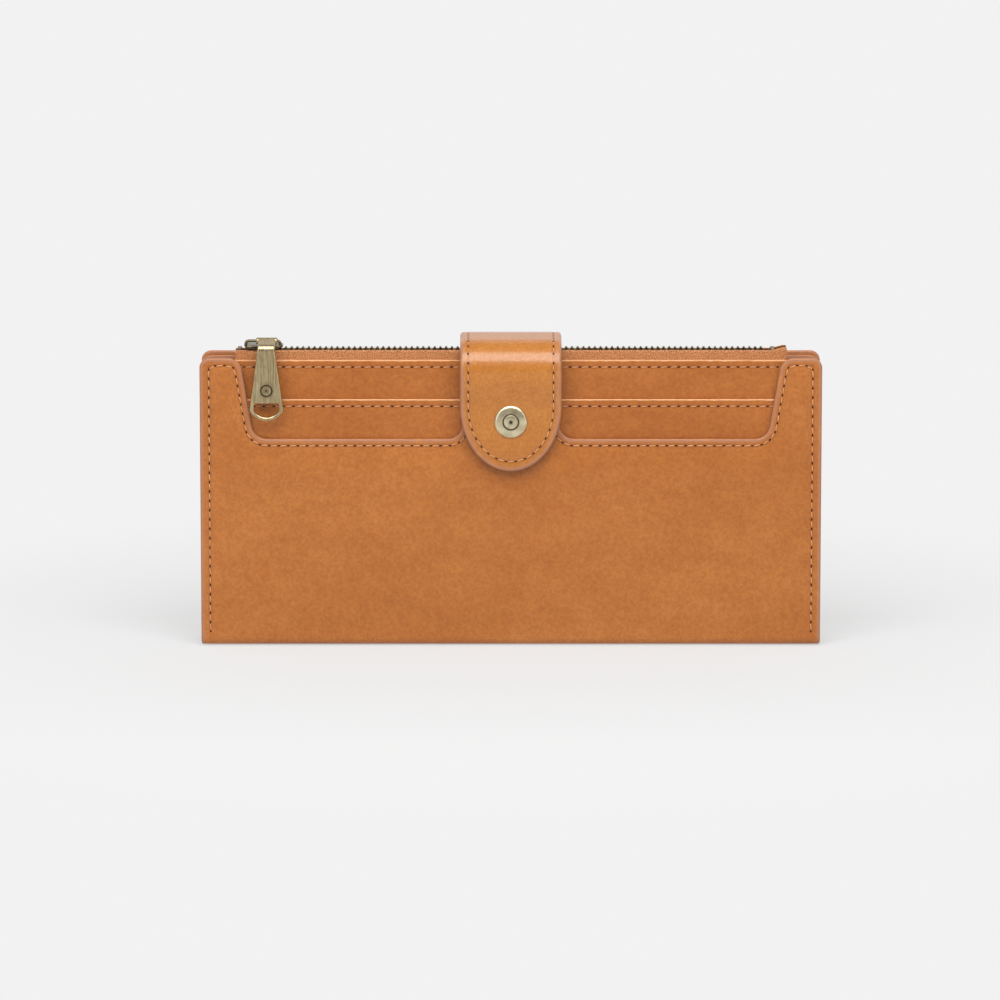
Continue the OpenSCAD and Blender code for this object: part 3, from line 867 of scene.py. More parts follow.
def stitched(name, lines, body=None, pitch=2.9, thick=0.38, rise=0.36):
    """Thread and needle holes along seams that were given as (section, seam, height) each."""
    wires = []
    for section, seam, height in lines:
        seam = np.array(dense(list(seam), 0.8, closed=False), float)
        size = height(seam[:, 0], seam[:, 1]) if callable(height) else \
            np.full(len(seam), float(height))
        wires.append((section.at(seam[:, 0], seam[:, 1], size), section.up(seam[:, 1])))
    thread = THREAD_STEPS.run(seam_lines(name + "_thread", wires), {
        "Pitch": pitch * MM, "Length": pitch * STITCH_SHARE * MM, "Thickness": thick * MM,
        "Rise": rise * MM, "Slant": STITCH_SLANT * MM, "Finish": THREAD})
    holes = HOLE_STEPS.run(seam_lines(name + "_needle_holes", wires), {
        "Pitch": pitch * MM, "Size": tuple(side * MM for side in HOLE_SIZE), "Finish": HOLE_SHADE})
    for piece in (thread, holes):
        if body:
            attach(piece, body)
    return thread, holes


# ---------------------------------------------------------------------------
# Outer leather
# ---------------------------------------------------------------------------

def fold_points(y_face, y_fold, y_end, steps=8):
    """The fold and half of the spine, from the cover's face to the middle."""
    way = 1 if y_fold > y_face else -1
    turn = [(y_fold - way * FOLD_R * math.cos(a), FOLD_R - FOLD_R * math.sin(a))
            for a in np.linspace(0, math.pi / 2, steps + 1)]
    flat = [(y_fold + (y_end - y_fold) * i / 4, 0.0) for i in range(1, 5)]
    return turn + flat


FRONT_LINE = Section([(FRONT_Y, z) for z in np.linspace(COVER_H, FOLD_R + 2, 30)]
                     + fold_points(FRONT_Y, FRONT_Y + FOLD_R, MID_Y), COVER_H, -1)
BACK_LINE = Section([(BACK_Y, z) for z in np.linspace(COVER_H, FOLD_R + 2, 30)]
                    + fold_points(BACK_Y, BACK_Y - FOLD_R, MID_Y), COVER_H, -1, side=-1)
FOLD_STEPS = [4.5, 3.2, 2.4, 1.6, 0.8, 0, -0.8, -1.6, -2.6]


def window_edge(grow):
    """The right window's edge, from the cover's shoulder to the tongue, moved out by grow."""
    outer_x = WINDOW_X - LEAN * (WINDOW_DEPTH - WINDOW_R) - WINDOW_R
    return (arc(WINDOW_X + SHOULDER_R, COVER_H - SHOULDER_R, SHOULDER_R - grow, 90, 172, 8)
            + arc(outer_x, WINDOW_Z + WINDOW_R, WINDOW_R + grow, 352, 270, 10)
            + arc(TONGUE_X + TONGUE_R, WINDOW_Z + TONGUE_R, TONGUE_R + grow, 270, 180, 10)
            + [(TONGUE_X - grow, COVER_H - grow)])


def cover_edge(section):
    """The right side of a cover, from the middle of the spine to the top corner."""
    return [(HALF_W, section.end())] + arc(HALF_W - CORNER_R, COVER_H - CORNER_R, CORNER_R,
                                           0, 90, 8)


def side_seam():
    return [(HALF_W - SIDE_SEAM, SEAM_FOOT), (HALF_W - SIDE_SEAM, COVER_H - SEAM_TOP)]


def both_sides(right):
    """A line on the right, and on to its mirror image on the left."""
    return right + mirrored(right)


FRONT_OUTLINE = both_sides(cover_edge(FRONT_LINE) + window_edge(0))
FRONT_SEAM = both_sides(side_seam() + window_edge(EDGE_SEAM))
BACK_OUTLINE = both_sides(cover_edge(BACK_LINE))
BACK_SEAM = both_sides(side_seam())


def front_lift(x, v, gap=None):
    """The cover swells a little between its seams, and lies flat at the snap and the folds."""
    spots = np.stack([np.asarray(x, float), np.asarray(v, float)], 1)
    if gap is None:
        gap = distance(spots, stretches(FRONT_OUTLINE))
    full = smooth(2.4, 11.0, gap) * smooth(1.0, 16.0, v)
    snap = smooth(4.5, 14.0, np.hypot(x, v - SNAP_Z))
    return 0.5 * full * snap + wave(spots, 0.035, 3.0, 0.12) * full


def back_lift(x, v, gap=None):
    spots = np.stack([np.asarray(x, float), np.asarray(v, float)], 1)
    if gap is None:
        gap = HALF_W - np.abs(x)
    full = smooth(2.4, 12.0, gap) * smooth(1.0, 16.0, v) * smooth(17.0, 26.0, np.abs(x))
    return 0.4 * full + wave(spots, 0.03, 9.0, 0.08) * full


front_leather = cut_sheet("front_leather", [FRONT_OUTLINE], FRONT_LINE, OUTER_T,
                          OUTER_LEATHER, seams=[FRONT_SEAM], lift=front_lift, grid=2.4,
                          butt=FRONT_LINE.end(), rings=(1.2,), extra=FOLD_STEPS)
back_leather = cut_sheet("back_leather", [BACK_OUTLINE], BACK_LINE, OUTER_T, OUTER_LEATHER,
                         seams=[BACK_SEAM], lift=back_lift, grid=2.8,
                         butt=BACK_LINE.end(), rings=(1.2,), extra=FOLD_STEPS)
stand_in(front_leather, "leather_outer", None, "front_panel", "spine_panel")
stand_in(back_leather, "leather_outer", None, "back_panel")
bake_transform(front_leather, "front_cover", "spine", start=(0, FRONT_Y * MM, FOLD_R * MM),
         end=(0, (FRONT_Y + FOLD_R) * MM, 0))
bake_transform(back_leather, "back_cover", "spine", start=(0, BACK_Y * MM, FOLD_R * MM),
         end=(0, (BACK_Y - FOLD_R) * MM, 0))
stitched("front_seam", [(FRONT_LINE, FRONT_SEAM, lambda x, v: front_lift(x, v) - SEAM_SINK)],
         "front_cover")
stitched("back_seam", [(BACK_LINE, BACK_SEAM, lambda x, v: back_lift(x, v) - SEAM_SINK)],
         "back_cover")


# ---------------------------------------------------------------------------
# Card layers, inside panels and strips
# ---------------------------------------------------------------------------

def layer_outline(half, low, high, r=0.6, low_r=0.6):
    return both_sides(arc(half - low_r, low + low_r, low_r, -90, 0, 4)
                      + arc(half - r, high - r, r, 0, 90, 6))


def layer(node, face, finish, slot, body, r, seams):
    """A flat leather layer in place of its CAD node. Face -1 shows towards the front, 1 the back."""
    low, high = place(node)
    section = upright(low[1] if face < 0 else high[1], side=-face)
    piece = cut_sheet(node + "_leather", [layer_outline(high[0], low[2], high[2], r)], section,
                      high[1] - low[1], finish, seams=seams, grid=4.0, step=1.6, groove=THIN_SEAM_SINK,
                      soft=0.06, rings=(0.9,), extra=(high[2] - 4,))
    stand_in(piece, slot, body, node)
    return [(section, seam, -THIN_SEAM_SINK) for seam in seams]


def top_seam(node, drop, margin=4.0):
    """A seam across a layer, this far below its top edge and in from its sides."""
    high = place(node)[1]
    return [(-high[0] + margin, high[2] - drop), (high[0] - margin, high[2] - drop)]


slot_seams = []
for node, r in (("low_card_slot", 0.6), ("tall_card_slot", 3.0)):
    slot_seams += layer(node, -1, SLOT_LEATHER, "leather_slot", "front_cover", r,
                        [top_seam(node, 2.2)])
stitched("card_slot_seam", slot_seams, "front_cover", pitch=3.0, thick=0.3, rise=0.26)

for cover, face, panel in (("front", 1, "front_inner_panel"), ("back", -1, "bill_pocket_panel")):
    nodes = [panel, *(f"{cover}_card_strip_{step}" for step in ("top", "middle", "bottom"))]
    tops = [place(node)[1][2] for node in nodes]
    lines = []
    for i, node in enumerate(nodes):
        half, top = place(node)[1][0], tops[i]
        foot = tops[i + 1] + 0.8 if i < 3 else 4.5
        sides = [[(x, foot), (x, top - (0.8 if i else 3))] for x in (2.4 - half, half - 2.4)]
        middle = [[(0.0, foot), (0.0, top - 1.2)]] if i else []
        made = layer(node, face, INNER_LEATHER, "leather_inner", cover + "_cover",
                     3.0 if node == "front_inner_panel" else 0.6,
                     [top_seam(node, 1.8 if i else 2.2), *middle, *sides])
        lines += made[1:] if i else made[1:] + made[:1]
    stitched(cover + "_inside_seam", lines, cover + "_cover", pitch=3.0, thick=0.26, rise=0.2)

low, high = place("spine_lining")
spine_section = Section([(high[1], high[2]), (low[1], high[2])], high[1], -1)
spine_inside = cut_sheet("spine_inside", [[(high[0], low[1]), (high[0], high[1]),
                                           (-high[0], high[1]), (-high[0], low[1])]],
                         spine_section, high[2] - low[2], INNER_LEATHER, grid=3.0, step=1.6,
                         soft=0.05)
stand_in(spine_inside, "leather_inner", "spine", "spine_lining")

for cover in ("front", "back"):
    node = cover + "_stiffener"
    low, high = place(node)
    board = cut_sheet(node + "_board", [layer_outline(high[0], low[2], high[2], 1.5, 1.5)],
                      upright(low[1]), high[1] - low[1], BOARD, grid=8.0, step=3.0, soft=0.0,
                      roll=0.2)
    stand_in(board, "board", cover + "_cover", node)


# ---------------------------------------------------------------------------
# Closing tab and snap
# ---------------------------------------------------------------------------

TOP_Z = place("tab_bridge_outer")[1][2]
FACE_Y = TAB_LOW[1]
BACK_FACE = ROOT_HIGH[1]
ROOT_Z = ROOT_LOW[2]
TIP_Z = TAB_LOW[2]
BROW_Y = FACE_Y - 1.05
strap_points = rounded_line([
    (BACK_FACE, ROOT_Z, 0), (BACK_FACE, TOP_Z - 0.4, 4.0), (5.0, TOP_Z, 12.0),
    (BROW_Y, TOP_Z - 1.3, 9.2), (BROW_Y, TOP_Z - 14.1, 28.0), (FACE_Y, TOP_Z - 20.1, 28.0),
    (FACE_Y, TIP_Z, 0)], steps=18)
STRAP = Section(strap_points, ROOT_Z, 1)
crown = int(np.argmin(np.abs(STRAP.points[:, 0] - MID_Y)
                      + 100 * (STRAP.points[:, 1] < TOP_Z - 4)))
JOIN_V = STRAP.v0 + STRAP.length[crown]
TIP_V = STRAP.end()
SNAP_V = TIP_V - (SNAP_Z - TIP_Z)
BEND_STEPS = list(np.arange(ROOT_Z + 28, ROOT_Z + 66, 0.9))
TAB_SEAM = 2.5
TAB_END = 20.0
ROOT_CORNER = 5.0


def strap_front_outline(inset=0.0):
    half = TAB_HALF - inset
    tip = TAB_END - 1.25 * inset
    return both_sides([(half, JOIN_V)]
                      + [(half * math.cos(a), TIP_V - TAB_END + tip * math.sin(a))
                         for a in np.radians(np.linspace(0, 90, 29))])


def strap_rear_outline(inset=0.0):
    return both_sides([(TAB_HALF - inset, JOIN_V)]
                      + arc(TAB_HALF - ROOT_CORNER, ROOT_Z + ROOT_CORNER, ROOT_CORNER - inset,
                            0, -90, 8))


def cap_dent(x, v):
    """The leather sinks a little round the cap."""
    reach = np.hypot(x, v - SNAP_V)
    return -0.12 * np.exp(-((reach - 5.2) / 0.9) ** 2)


front_strap_seam = strap_front_outline(TAB_SEAM)
rear_strap_seam = strap_rear_outline(TAB_SEAM)
strap_front = cut_sheet("strap_front", [strap_front_outline()], STRAP, TAB_T, TAB_LEATHER,
                        seams=[front_strap_seam], butt=JOIN_V, rings=(1.3, 1.9), grid=1.7,
                        step=0.8, extra=BEND_STEPS, dish=cap_dent, roll=0.42, soft=0.16)
strap_rear = cut_sheet("strap_rear", [strap_rear_outline()], STRAP, TAB_T, TAB_LEATHER,
                       seams=[rear_strap_seam], butt=JOIN_V, rings=(1.3, 1.9), grid=1.9,
                       step=0.8, extra=BEND_STEPS, roll=0.42, soft=0.16)
stand_in(strap_front, "leather_tab", None, "tab_flap_outer", "tab_flap_lining")
stand_in(strap_rear, "leather_tab", None, "tab_root_outer", "tab_root_lining",
         "tab_bridge_outer", "tab_bridge_lining")
BROW_START_Y = -0.0074
front_bend = dict(start=(0, BROW_START_Y, (TOP_Z - 1.9) * MM),
                  end=(0, BROW_Y * MM, (TOP_Z - 11.6) * MM))
rear_bend = dict(start=(0, BACK_FACE * MM, (TOP_Z - 3.0) * MM),
                 end=(0, (BACK_FACE - 3.0) * MM, TOP_Z * MM))
strap_front_thread = stitched("strap_front_seam", [(STRAP, front_strap_seam, -SEAM_SINK)],
                              pitch=2.95)
strap_rear_thread = stitched("strap_rear_seam", [(STRAP, rear_strap_seam, -SEAM_SINK)],
                             pitch=2.95)
for piece in (strap_front, *strap_front_thread):
    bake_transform(piece, "tab_bridge", "tab_flap", **front_bend)
for piece in (strap_rear, *strap_rear_thread):
    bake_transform(piece, "back_cover", "tab_bridge", **rear_bend)


def snap_part(name, node, body, outline, segments=64, sharp=50, number=None):
    """A turned metal part of the snap. The outline's heights count towards the front."""
    piece = turned(name, outline, (0, 0, SNAP_Z), (0, -1, 0), SNAP_METAL, segments, sharp, number)
    stand_in(piece, "snap_metal", body, node)


def front_to_back(node):
    """How far forward a part of the snap starts and ends, at its back and at its front."""
    low, high = place(node)
    return -high[1], -low[1]


CAP_R = CAP_HIGH[0]
CAP_FRONT = -CAP_LOW[1]
FACE = -FACE_Y
CAP_RING_R = 2.34
cap_outline = [(0, FACE - TAB_T - 0.1), (1.2, FACE - TAB_T - 0.1), (1.2, FACE - 0.15),
               (CAP_R - 0.15, FACE - 0.15), (CAP_R, FACE - 0.02), (CAP_R, FACE + 0.18),
               (CAP_R - 0.07, FACE + 0.30), (CAP_R - 0.22, FACE + 0.40)]
dome = []
for r in (*np.linspace(CAP_R - 0.4, 2.75, 8), 2.62, 2.52, 2.40, 2.28, 2.16, 2.06, 1.9, 1.5, 1.1,
          0.85, 0.72, 0.6, 0.48, 0.36, 0.2):
    height = FACE + 0.42 + (CAP_FRONT - FACE - 0.42) * (1 - (r / CAP_R) ** 2)
    height -= 0.14 * math.exp(-((r - CAP_RING_R) / 0.22) ** 2)\
        + 0.13 * math.exp(-(r / 0.6) ** 2)
    dome.append((r, height))
cap_outline += dome + [(0, CAP_FRONT - 0.14)]


def cap_hollow(r, h):
    """Patina in the engraved ring, the centre dot and under the rim."""
    if h < FACE + 0.06:
        return 0.8
    return float(min(1.0, 1.3 * math.exp(-((r - CAP_RING_R) / 0.24) ** 2)
                     + 1.3 * math.exp(-(r / 0.62) ** 2)))


snap_part("snap_cap_dome", "snap_cap", "tab_flap", cap_outline, 80, 60, cap_hollow)

near, far = front_to_back("snap_socket")
snap_part("snap_socket_ring", "snap_socket", "tab_flap", [
    (2.1, far), (2.1, near + 0.1), (2.25, near), (3.6, near), (3.9, near + 0.12),
    (4.0, near + 0.35), (3.95, near + 0.55), (4.2, near + 0.7), (4.2, far)])

foot, tip = front_to_back("snap_stud")
snap_part("snap_stud_bulb", "snap_stud", "front_cover", [
    (0, foot - 0.02), (3.1, foot - 0.02), (3.2, foot + 0.08), (3.12, foot + 0.22),
    (2.7, foot + 0.3), (1.9, foot + 0.34), (1.62, foot + 0.5), (1.62, foot + 0.78),
    (1.9, foot + 0.9), (2.0, foot + 1.03), (1.92, foot + 1.18), (1.7, tip),
    (1.0, tip), (0.85, tip - 0.12), (0.6, tip - 0.22), (0, tip - 0.25)],
    number=lambda r, h: 0.7 if r < 0.9 and h > foot + 0.3 else 0.0)

rear = front_to_back("stud_rivet")[0]
snap_part("stud_rivet_head", "stud_rivet", "front_cover", [
    (0, rear), (2.9, rear), (3.15, rear + 0.06), (3.2, rear + 0.14), (3.1, rear + 0.2),
    (0.9, rear + 0.2), (0.9, rear + 1.9), (0, rear + 1.9)], 48, 40)


# ---------------------------------------------------------------------------
# Zipper
# ---------------------------------------------------------------------------

TEETH_LOW, TEETH_HIGH = place("zipper_teeth_outer")
INNER_LOW, INNER_HIGH = place("zipper_teeth_inner")
ZIP_Y = (TEETH_LOW[1] + INNER_HIGH[1]) / 2
ZIP_Z = (TEETH_LOW[2] + TEETH_HIGH[2]) / 2
TOOTH_W = 0.8
ROW_L = TEETH_HIGH[0] - TEETH_LOW[0] - TOOTH_W
TEETH = round(ROW_L / 1.75) + 1
PITCH = ROW_L / (TEETH - 1)
STOP_W = 1.4
STOP_DEPTH = 1.55
TAPE_T = 0.4


def tooth(name, root_y, way, x):
    """One tooth, clamped on the tape at root_y, its head towards the other row."""
    rings = []
    for reach, w, h in ((0.0, 0.66, 1.2), (0.12, 0.8, 1.46), (0.62, 0.8, 1.46),
                        (1.0, 0.58, 1.26), (1.28, 0.74, 1.16), (1.68, 0.78, 1.1),
                        (1.9, 0.44, 0.8)):
        ring = []
        for a, b in ((1, 0.55), (0.55, 1), (-0.55, 1), (-1, 0.55), (-1, -0.55), (-0.55, -1),
                     (0.55, -1), (1, -0.55)):
            ring.append((x + TOOTH_W / 2 + a * w / 2, root_y + way * reach, ZIP_Z + b * h / 2))
        rings.append(ring)
    return swept(name, rings, TEETH_METAL)


for row, root_y, way, x in (("outer", TEETH_LOW[1], 1, TEETH_LOW[0]),
                            ("inner", INNER_HIGH[1], -1, INNER_LOW[0])):
    one = tooth(f"zip_teeth_{row}", root_y, way, x)
    teeth = ROW_STEPS.run(one, {"Count": TEETH, "Pitch": PITCH * MM, "Finish": TEETH_METAL})
    stand_in(teeth, "zipper_metal", "front_cover", "zipper_teeth_" + row)


def soft_block(name, low, high, r, finish):
    """A small block with rounded edges."""
    low, high = np.array(low, float), np.array(high, float)
    centre, half = (low + high) / 2, (high - low) / 2
    rings = []
    for t in (-1, -1 + r / half[1] * 0.3, -1 + r / half[1], 0, 1 - r / half[1],
              1 - r / half[1] * 0.3, 1):
        cut = r * (1 - math.sqrt(max(0, 1 - ((abs(t) - 1 + r / half[1]) / (r / half[1])) ** 2))
                   if abs(t) > 1 - r / half[1] else 0)
        ring = []
        for a0, sx, sz in ((0, 1, 1), (90, -1, 1), (180, -1, -1), (270, 1, -1)):
            for a in (0, 30, 60, 90):
                angle = math.radians(a0 + a)
                ring.append((centre[0] + sx * (half[0] - r) + (r - cut) * math.cos(angle),
                             centre[1] + t * half[1],
                             centre[2] + sz * (half[2] - r) + (r - cut) * math.sin(angle)))
        rings.append(ring)
    return swept(name, rings, finish)


low, high = place("zipper_stops")
blocks = [soft_block("stop", start, end, 0.3, TEETH_METAL) for start, end in (
    (low, (low[0] + STOP_W, low[1] + STOP_DEPTH, high[2])),
    ((low[0], high[1] - STOP_DEPTH, low[2]), (low[0] + STOP_W, high[1], high[2])),
    ((high[0] - STOP_W, low[1], low[2]), high))]
stand_in(joined("zip_stops", *blocks), "zipper_metal", "front_cover", "zipper_stops")


def turn_up(piece, half):
    """The tape's end beyond the bottom stop stands up a little."""
    for vertex in piece.data.vertices:
        x, z = vertex.co.x / MM, vertex.co.z / MM
        vertex.co.z += 1.0 * MM * float(smooth(half - 5.2, half, x) * smooth(86.0, 91.0, z))


tape_top = place("zipper_tape_outer")[1][2]
for tag, side in (("outer", 1), ("inner", -1)):
    low, high = place("zipper_tape_" + tag)
    face, far = (low[1], high[1])[::side]
    line = rounded_line([(far, tape_top, 0), (face, tape_top, 0.42), (face, low[2], 0)], 6)
    section = Section(line, 0.0, -1, side=side)
    outline = both_sides([(high[0], section.end()), (high[0], 0.0)])
    tape = cut_sheet("zip_tape_" + tag, [outline], section, TAPE_T, TAPE_CLOTH, grid=2.2,
                     step=1.2, roll=0.35, soft=0.03, extra=(-0.3, -0.6, -0.9, -1.2, -1.6, -2.2))
    turn_up(tape, high[0])
    stand_in(tape, "zipper_tape", "front_cover", "zipper_tape_" + tag)
    abs(section.end()) * MM


def lining_sheet(name, points, rows, thick, flat):
    """A thin lining cloth from a grid of points, thickened evenly."""
    points = np.asarray(points, float)
    count = len(points) // rows
    faces = []
    for i in range(rows - 1):
        for k in range(count - 1):
            a = i * count + k
            faces.append((a, a + 1, a + count + 1, a + count))
    mesh = bpy.data.meshes.new(name)
    mesh.from_pydata((points * MM).tolist(), [], faces)
    set_flat_map(mesh, flat)
    mesh.shade_smooth()
    mesh.materials.append(LINING_CLOTH)
    obj = add_object(name, mesh)
    thicken = obj.modifiers.new("thickness", "SOLIDIFY")
    thicken.thickness = thick * MM
    thicken.offset = 0
    graph = bpy.context.evaluated_depsgraph_get()
    made = bpy.data.meshes.new_from_object(obj.evaluated_get(graph))
    bpy.data.objects.remove(obj)
    finish_edges(made, 50)
    return add_object(name, made)


for tag in ("outer", "inner"):
    low, high = place("zip_lining_" + tag)
    xs = np.linspace(low[0], high[0], 61)
    zs = np.linspace(low[2], high[2], 29)
    middle = (low[1] + high[1]) / 2
    way = 1 if tag == "outer" else -1
    points, flat = [], []
    for z in zs:
        for x in xs:
            loose = smooth(0, 12, min(x - low[0], high[0] - x)) * smooth(0, 10, z - low[2]) \
                * smooth(0, 12, high[2] - z)
            sag = 0.35 + 0.45 * noise.noise(Vector((x * 0.05, z * 0.04, way * 5.0)))
            points.append((x, middle + way * loose * max(sag, 0.0) * 1.2, z))
            flat.append((x, z))
    cloth = lining_sheet("pocket_lining_" + tag, points, len(zs), 0.2, flat)
    stand_in(cloth, "lining_cloth", "front_cover", "zip_lining_" + tag)

low, high = place("zip_gusset")
half, floor_z, top_z = high[0] - 0.15, low[2] + 0.15, high[2]
GUSSET_R = 2.5
PLEAT = 4.8


def running_length(line):
    """How far along the line each of its points is."""
    return np.concatenate([[0], np.cumsum(np.linalg.norm(np.diff(line, axis=0), axis=1))])


path = np.array(dense(
    [(-half, top_z)] + arc(-half + GUSSET_R, floor_z + GUSSET_R, GUSSET_R, 180, 270, 6)
    + arc(half - GUSSET_R, floor_z + GUSSET_R, GUSSET_R, 270, 360, 6) + [(half, top_z)],
    3.0, False))
inward = sideways(np.gradient(path, axis=0))
length = running_length(path)
width = high[1] - low[1] - 0.3
folded = np.array([[t * width / 2, PLEAT * (1 - t * t)] for t in np.linspace(-1, 1, 9)])
run = running_length(folded)
points, flat = [], []
for (y, deep), drawn in zip(folded, run):
    for (x, z), along in zip(path + inward * deep, length):
        points.append((x, (low[1] + high[1]) / 2 + y, z))
        flat.append((along, drawn))
gusset = lining_sheet("pocket_gusset", points, len(folded), 0.25, flat)
stand_in(gusset, "lining_cloth", "front_cover", "zip_gusset")


# ---------------------------------------------------------------------------
# Slider and pull
# ---------------------------------------------------------------------------

SLIDER_LOW, SLIDER_HIGH = place("slider_body")
slider_x = (SLIDER_LOW[0] + SLIDER_HIGH[0]) / 2
half_l = (SLIDER_HIGH[0] - SLIDER_LOW[0]) / 2


def plate_outline(nose, tail, r=1.2, waist=0.35):
    """A slider plate, its nose to the left."""
    up = (arc(half_l - r, tail / 2 - r, r, 0, 90, 6) + [(0.5, (nose + tail) / 4 - waist)]
          + arc(-half_l + r + 0.6, nose / 2 - r, r, 90, 180, 6))
    down = [(x, -y) for x, y in reversed(up)]
    return [(slider_x + x, ZIP_Y + y) for x, y in up + down]


def plate(name, top_z, thick, outline, crown=0.0):
    section = Section([(ZIP_Y + 6, top_z), (ZIP_Y - 6, top_z)], ZIP_Y + 6, -1)
    return cut_sheet(name, [outline], section, thick, SLIDER_METAL, grid=1.1, step=0.6,
                     roll=0.42, soft=0.0, sharp=60,
                     dish=lambda x, v: crown * (1 - ((v - ZIP_Y) / 3.8) ** 2))


top_plate = plate("plate", SLIDER_HIGH[2] - 0.1, 0.68, plate_outline(7.4, 5.8), 0.1)
low_plate = plate("plate", SLIDER_LOW[2] + 0.8, 0.8, plate_outline(4.7, 4.7, waist=0.0))
post = soft_block("post", (SLIDER_LOW[0] + 0.7, ZIP_Y - 0.15, SLIDER_LOW[2] + 0.4),
                  (SLIDER_LOW[0] + 2.7, ZIP_Y + 0.15, SLIDER_HIGH[2] - 0.4), 0.08,
                  SLIDER_METAL)
lips = []
for side in (-1, 1):
    rings = []
    for x, y, tall in ((-4.6, 3.25, 0.1), (-4.2, 3.25, 0.5), (-1.0, 2.95, 0.55), (3.6, 2.6, 0.55),
                       (4.9, 2.45, 0.5), (5.2, 2.4, 0.1)):
        top = SLIDER_HIGH[2] - 0.45
        rings.append([(slider_x + x, ZIP_Y + side * (y - 0.22), top),
                      (slider_x + x, ZIP_Y + side * (y + 0.22), top),
                      (slider_x + x, ZIP_Y + side * (y + 0.2), top - tall),
                      (slider_x + x, ZIP_Y + side * (y - 0.12), top - tall - 0.04)])
    lips.append(swept("lip", rings, SLIDER_METAL, 40))
stand_in(joined("slider_shell", top_plate, low_plate, post, *lips), "slider_metal", "slider",
         "slider_body")

BAIL_LOW, BAIL_HIGH = place("slider_bail")
bail_x = (BAIL_LOW[0] + BAIL_HIGH[0]) / 2
bail_y = (BAIL_LOW[1] + BAIL_HIGH[1]) / 2
bar_z = BAIL_HIGH[2] - 0.45
reach = (BAIL_HIGH[0] - BAIL_LOW[0]) / 2 - 0.45
arch = dense([(-reach - 0.1, SLIDER_HIGH[2] - 0.35)]
             + arc(-reach + 1.0, bar_z - 0.95, 1.0, 180, 100, 6)
             + arc(reach - 0.9, bar_z - 0.95, 1.0, 80, 0, 6)
             + [(reach + 0.1, SLIDER_HIGH[2] - 0.35)], 0.8, False)
wire = [(0.50 * math.cos(a), 0.46 * math.sin(a)) for a in np.radians(np.arange(0, 360, 30))]
rings = [[(bail_x + x + nx * off, bail_y + deep, z + nz * off) for deep, off in wire]
         for (x, z), (nx, nz) in zip(arch, sideways(np.gradient(arch, axis=0)))]
stand_in(swept("slider_bail_wire", rings, SLIDER_METAL), "slider_metal", "slider",
         "slider_bail")

PULL_LOW, PULL_HIGH = place("zipper_pull")
PULL_T = 1.3
HEAD_R = 1.05
BLADE_HALF = 5.25
GRIP_HALF = 3.8
MARK_R = 1.7
pull_x = (PULL_LOW[0] + PULL_HIGH[0]) / 2
end_r, hole_r = 5.7, 4.45
end_z = PULL_LOW[2] + end_r
head_z = PULL_HIGH[2] - HEAD_R
pull_line = rounded_line([(bail_y - 0.5, head_z + 0.95, 0), (bail_y - 2.6, head_z + 0.35, 3.0),
                          (PULL_LOW[1], head_z - 0.5, 1.9),
                          (PULL_LOW[1], PULL_LOW[2] - 2, 0)], 10)
PULL = Section(pull_line, PULL_LOW[2] - 2 + Section(pull_line, 0).end(), -1)
MARK_Z = end_z + 3.7


def pull_outline():
    """The neck, the widening blade and its rounded end; v is the height on the hanging blade."""
    half_a = math.degrees(math.acos(BLADE_HALF / end_r))
    right = arc(0, end_z, end_r, -90, -half_a, 14) + [(2.75, head_z - 2.4), (2.6, PULL.v0)]
    right = [(pull_x + x, v) for x, v in right]
    left = [(2 * pull_x - x, v) for x, v in reversed(right)]
    return right + left


def grip_outline():
    """The D-shaped finger hole, with softened corners."""
    half = math.degrees(math.asin(-0.3 / hole_r))
    points = [(max(-GRIP_HALF, min(GRIP_HALF, hole_r * math.cos(a))),
               end_z + hole_r * math.sin(a))
              for a in np.radians(np.linspace(180 - half + 6, 360 + half - 6, 25))]
    points += [(3.45, end_z - 0.3), (-3.45, end_z - 0.3)]
    return [(pull_x + x, v) for x, v in points]


def ring_mark(x, v):
    """A thin engraved ring with a centre dot."""
    reach = np.hypot(x - pull_x, v - MARK_Z)
    return -0.10 * np.exp(-((reach - MARK_R) / 0.16) ** 2) - 0.10 * np.exp(-(reach / 0.4) ** 2)


# Loops that give the engraved ring its own rows of points
mark_lines = [arc(pull_x, MARK_Z, r, 0, 360, 40) for r in (1.38, 1.55, MARK_R, 1.85, 2.02)]
blade = cut_sheet("pull", [pull_outline(), grip_outline()], PULL, PULL_T, PULL_METAL,
                  grid=0.55, step=0.4, roll=0.42, soft=0.0, sharp=50, dish=ring_mark,
                  rings=(0.75,), marks=mark_lines)
reach = np.hypot([v.co.x / MM - pull_x for v in blade.data.vertices],
                 [v.co.z / MM - MARK_Z for v in blade.data.vertices])
front = np.array([v.co.y / MM < PULL_LOW[1] + 0.5 for v in blade.data.vertices])
mark = 1.3 * np.exp(-((reach - MARK_R) / 0.24) ** 2) + 1.3 * np.exp(-(reach / 0.5) ** 2)
set_numbers(blade.data, {"hollow": np.clip(mark, 0, 1) * front, "has_rim": np.ones(len(mark))})
head = turned("head", [(0.62, -3.1), (0.84, -3.2), (0.97, -3.12), (HEAD_R, -2.9),
                       (HEAD_R, 2.9), (0.97, 3.12), (0.84, 3.2), (0.62, 3.1)],
              (pull_x, bail_y, head_z), (1, 0, 0), PULL_METAL, segments=40, sharp=40)
stand_in(joined("pull_blade", blade, head), "pull_metal", "pull", "zipper_pull")


# ---------------------------------------------------------------------------
# Floor, light and camera
# ---------------------------------------------------------------------------

FLOOR_GREY = 0.62
FLOOR_GLOW = 0.888
FLOOR_DROP = 0.0003     # keeps the floor clear of the spine
SKY_LOW, SKY_LOW_AT = 0.40, 0.02
SKY_HIGH, SKY_HIGH_AT = 1.0, 0.75
SKY_STRENGTH = 0.42
CAMERA_AIM = Vector((-0.0033, -0.0074, 0.0452))
CAMERA_AWAY = 2.0
CAMERA_LIFT = math.radians(10.0)
CAMERA_LENS = 235.3

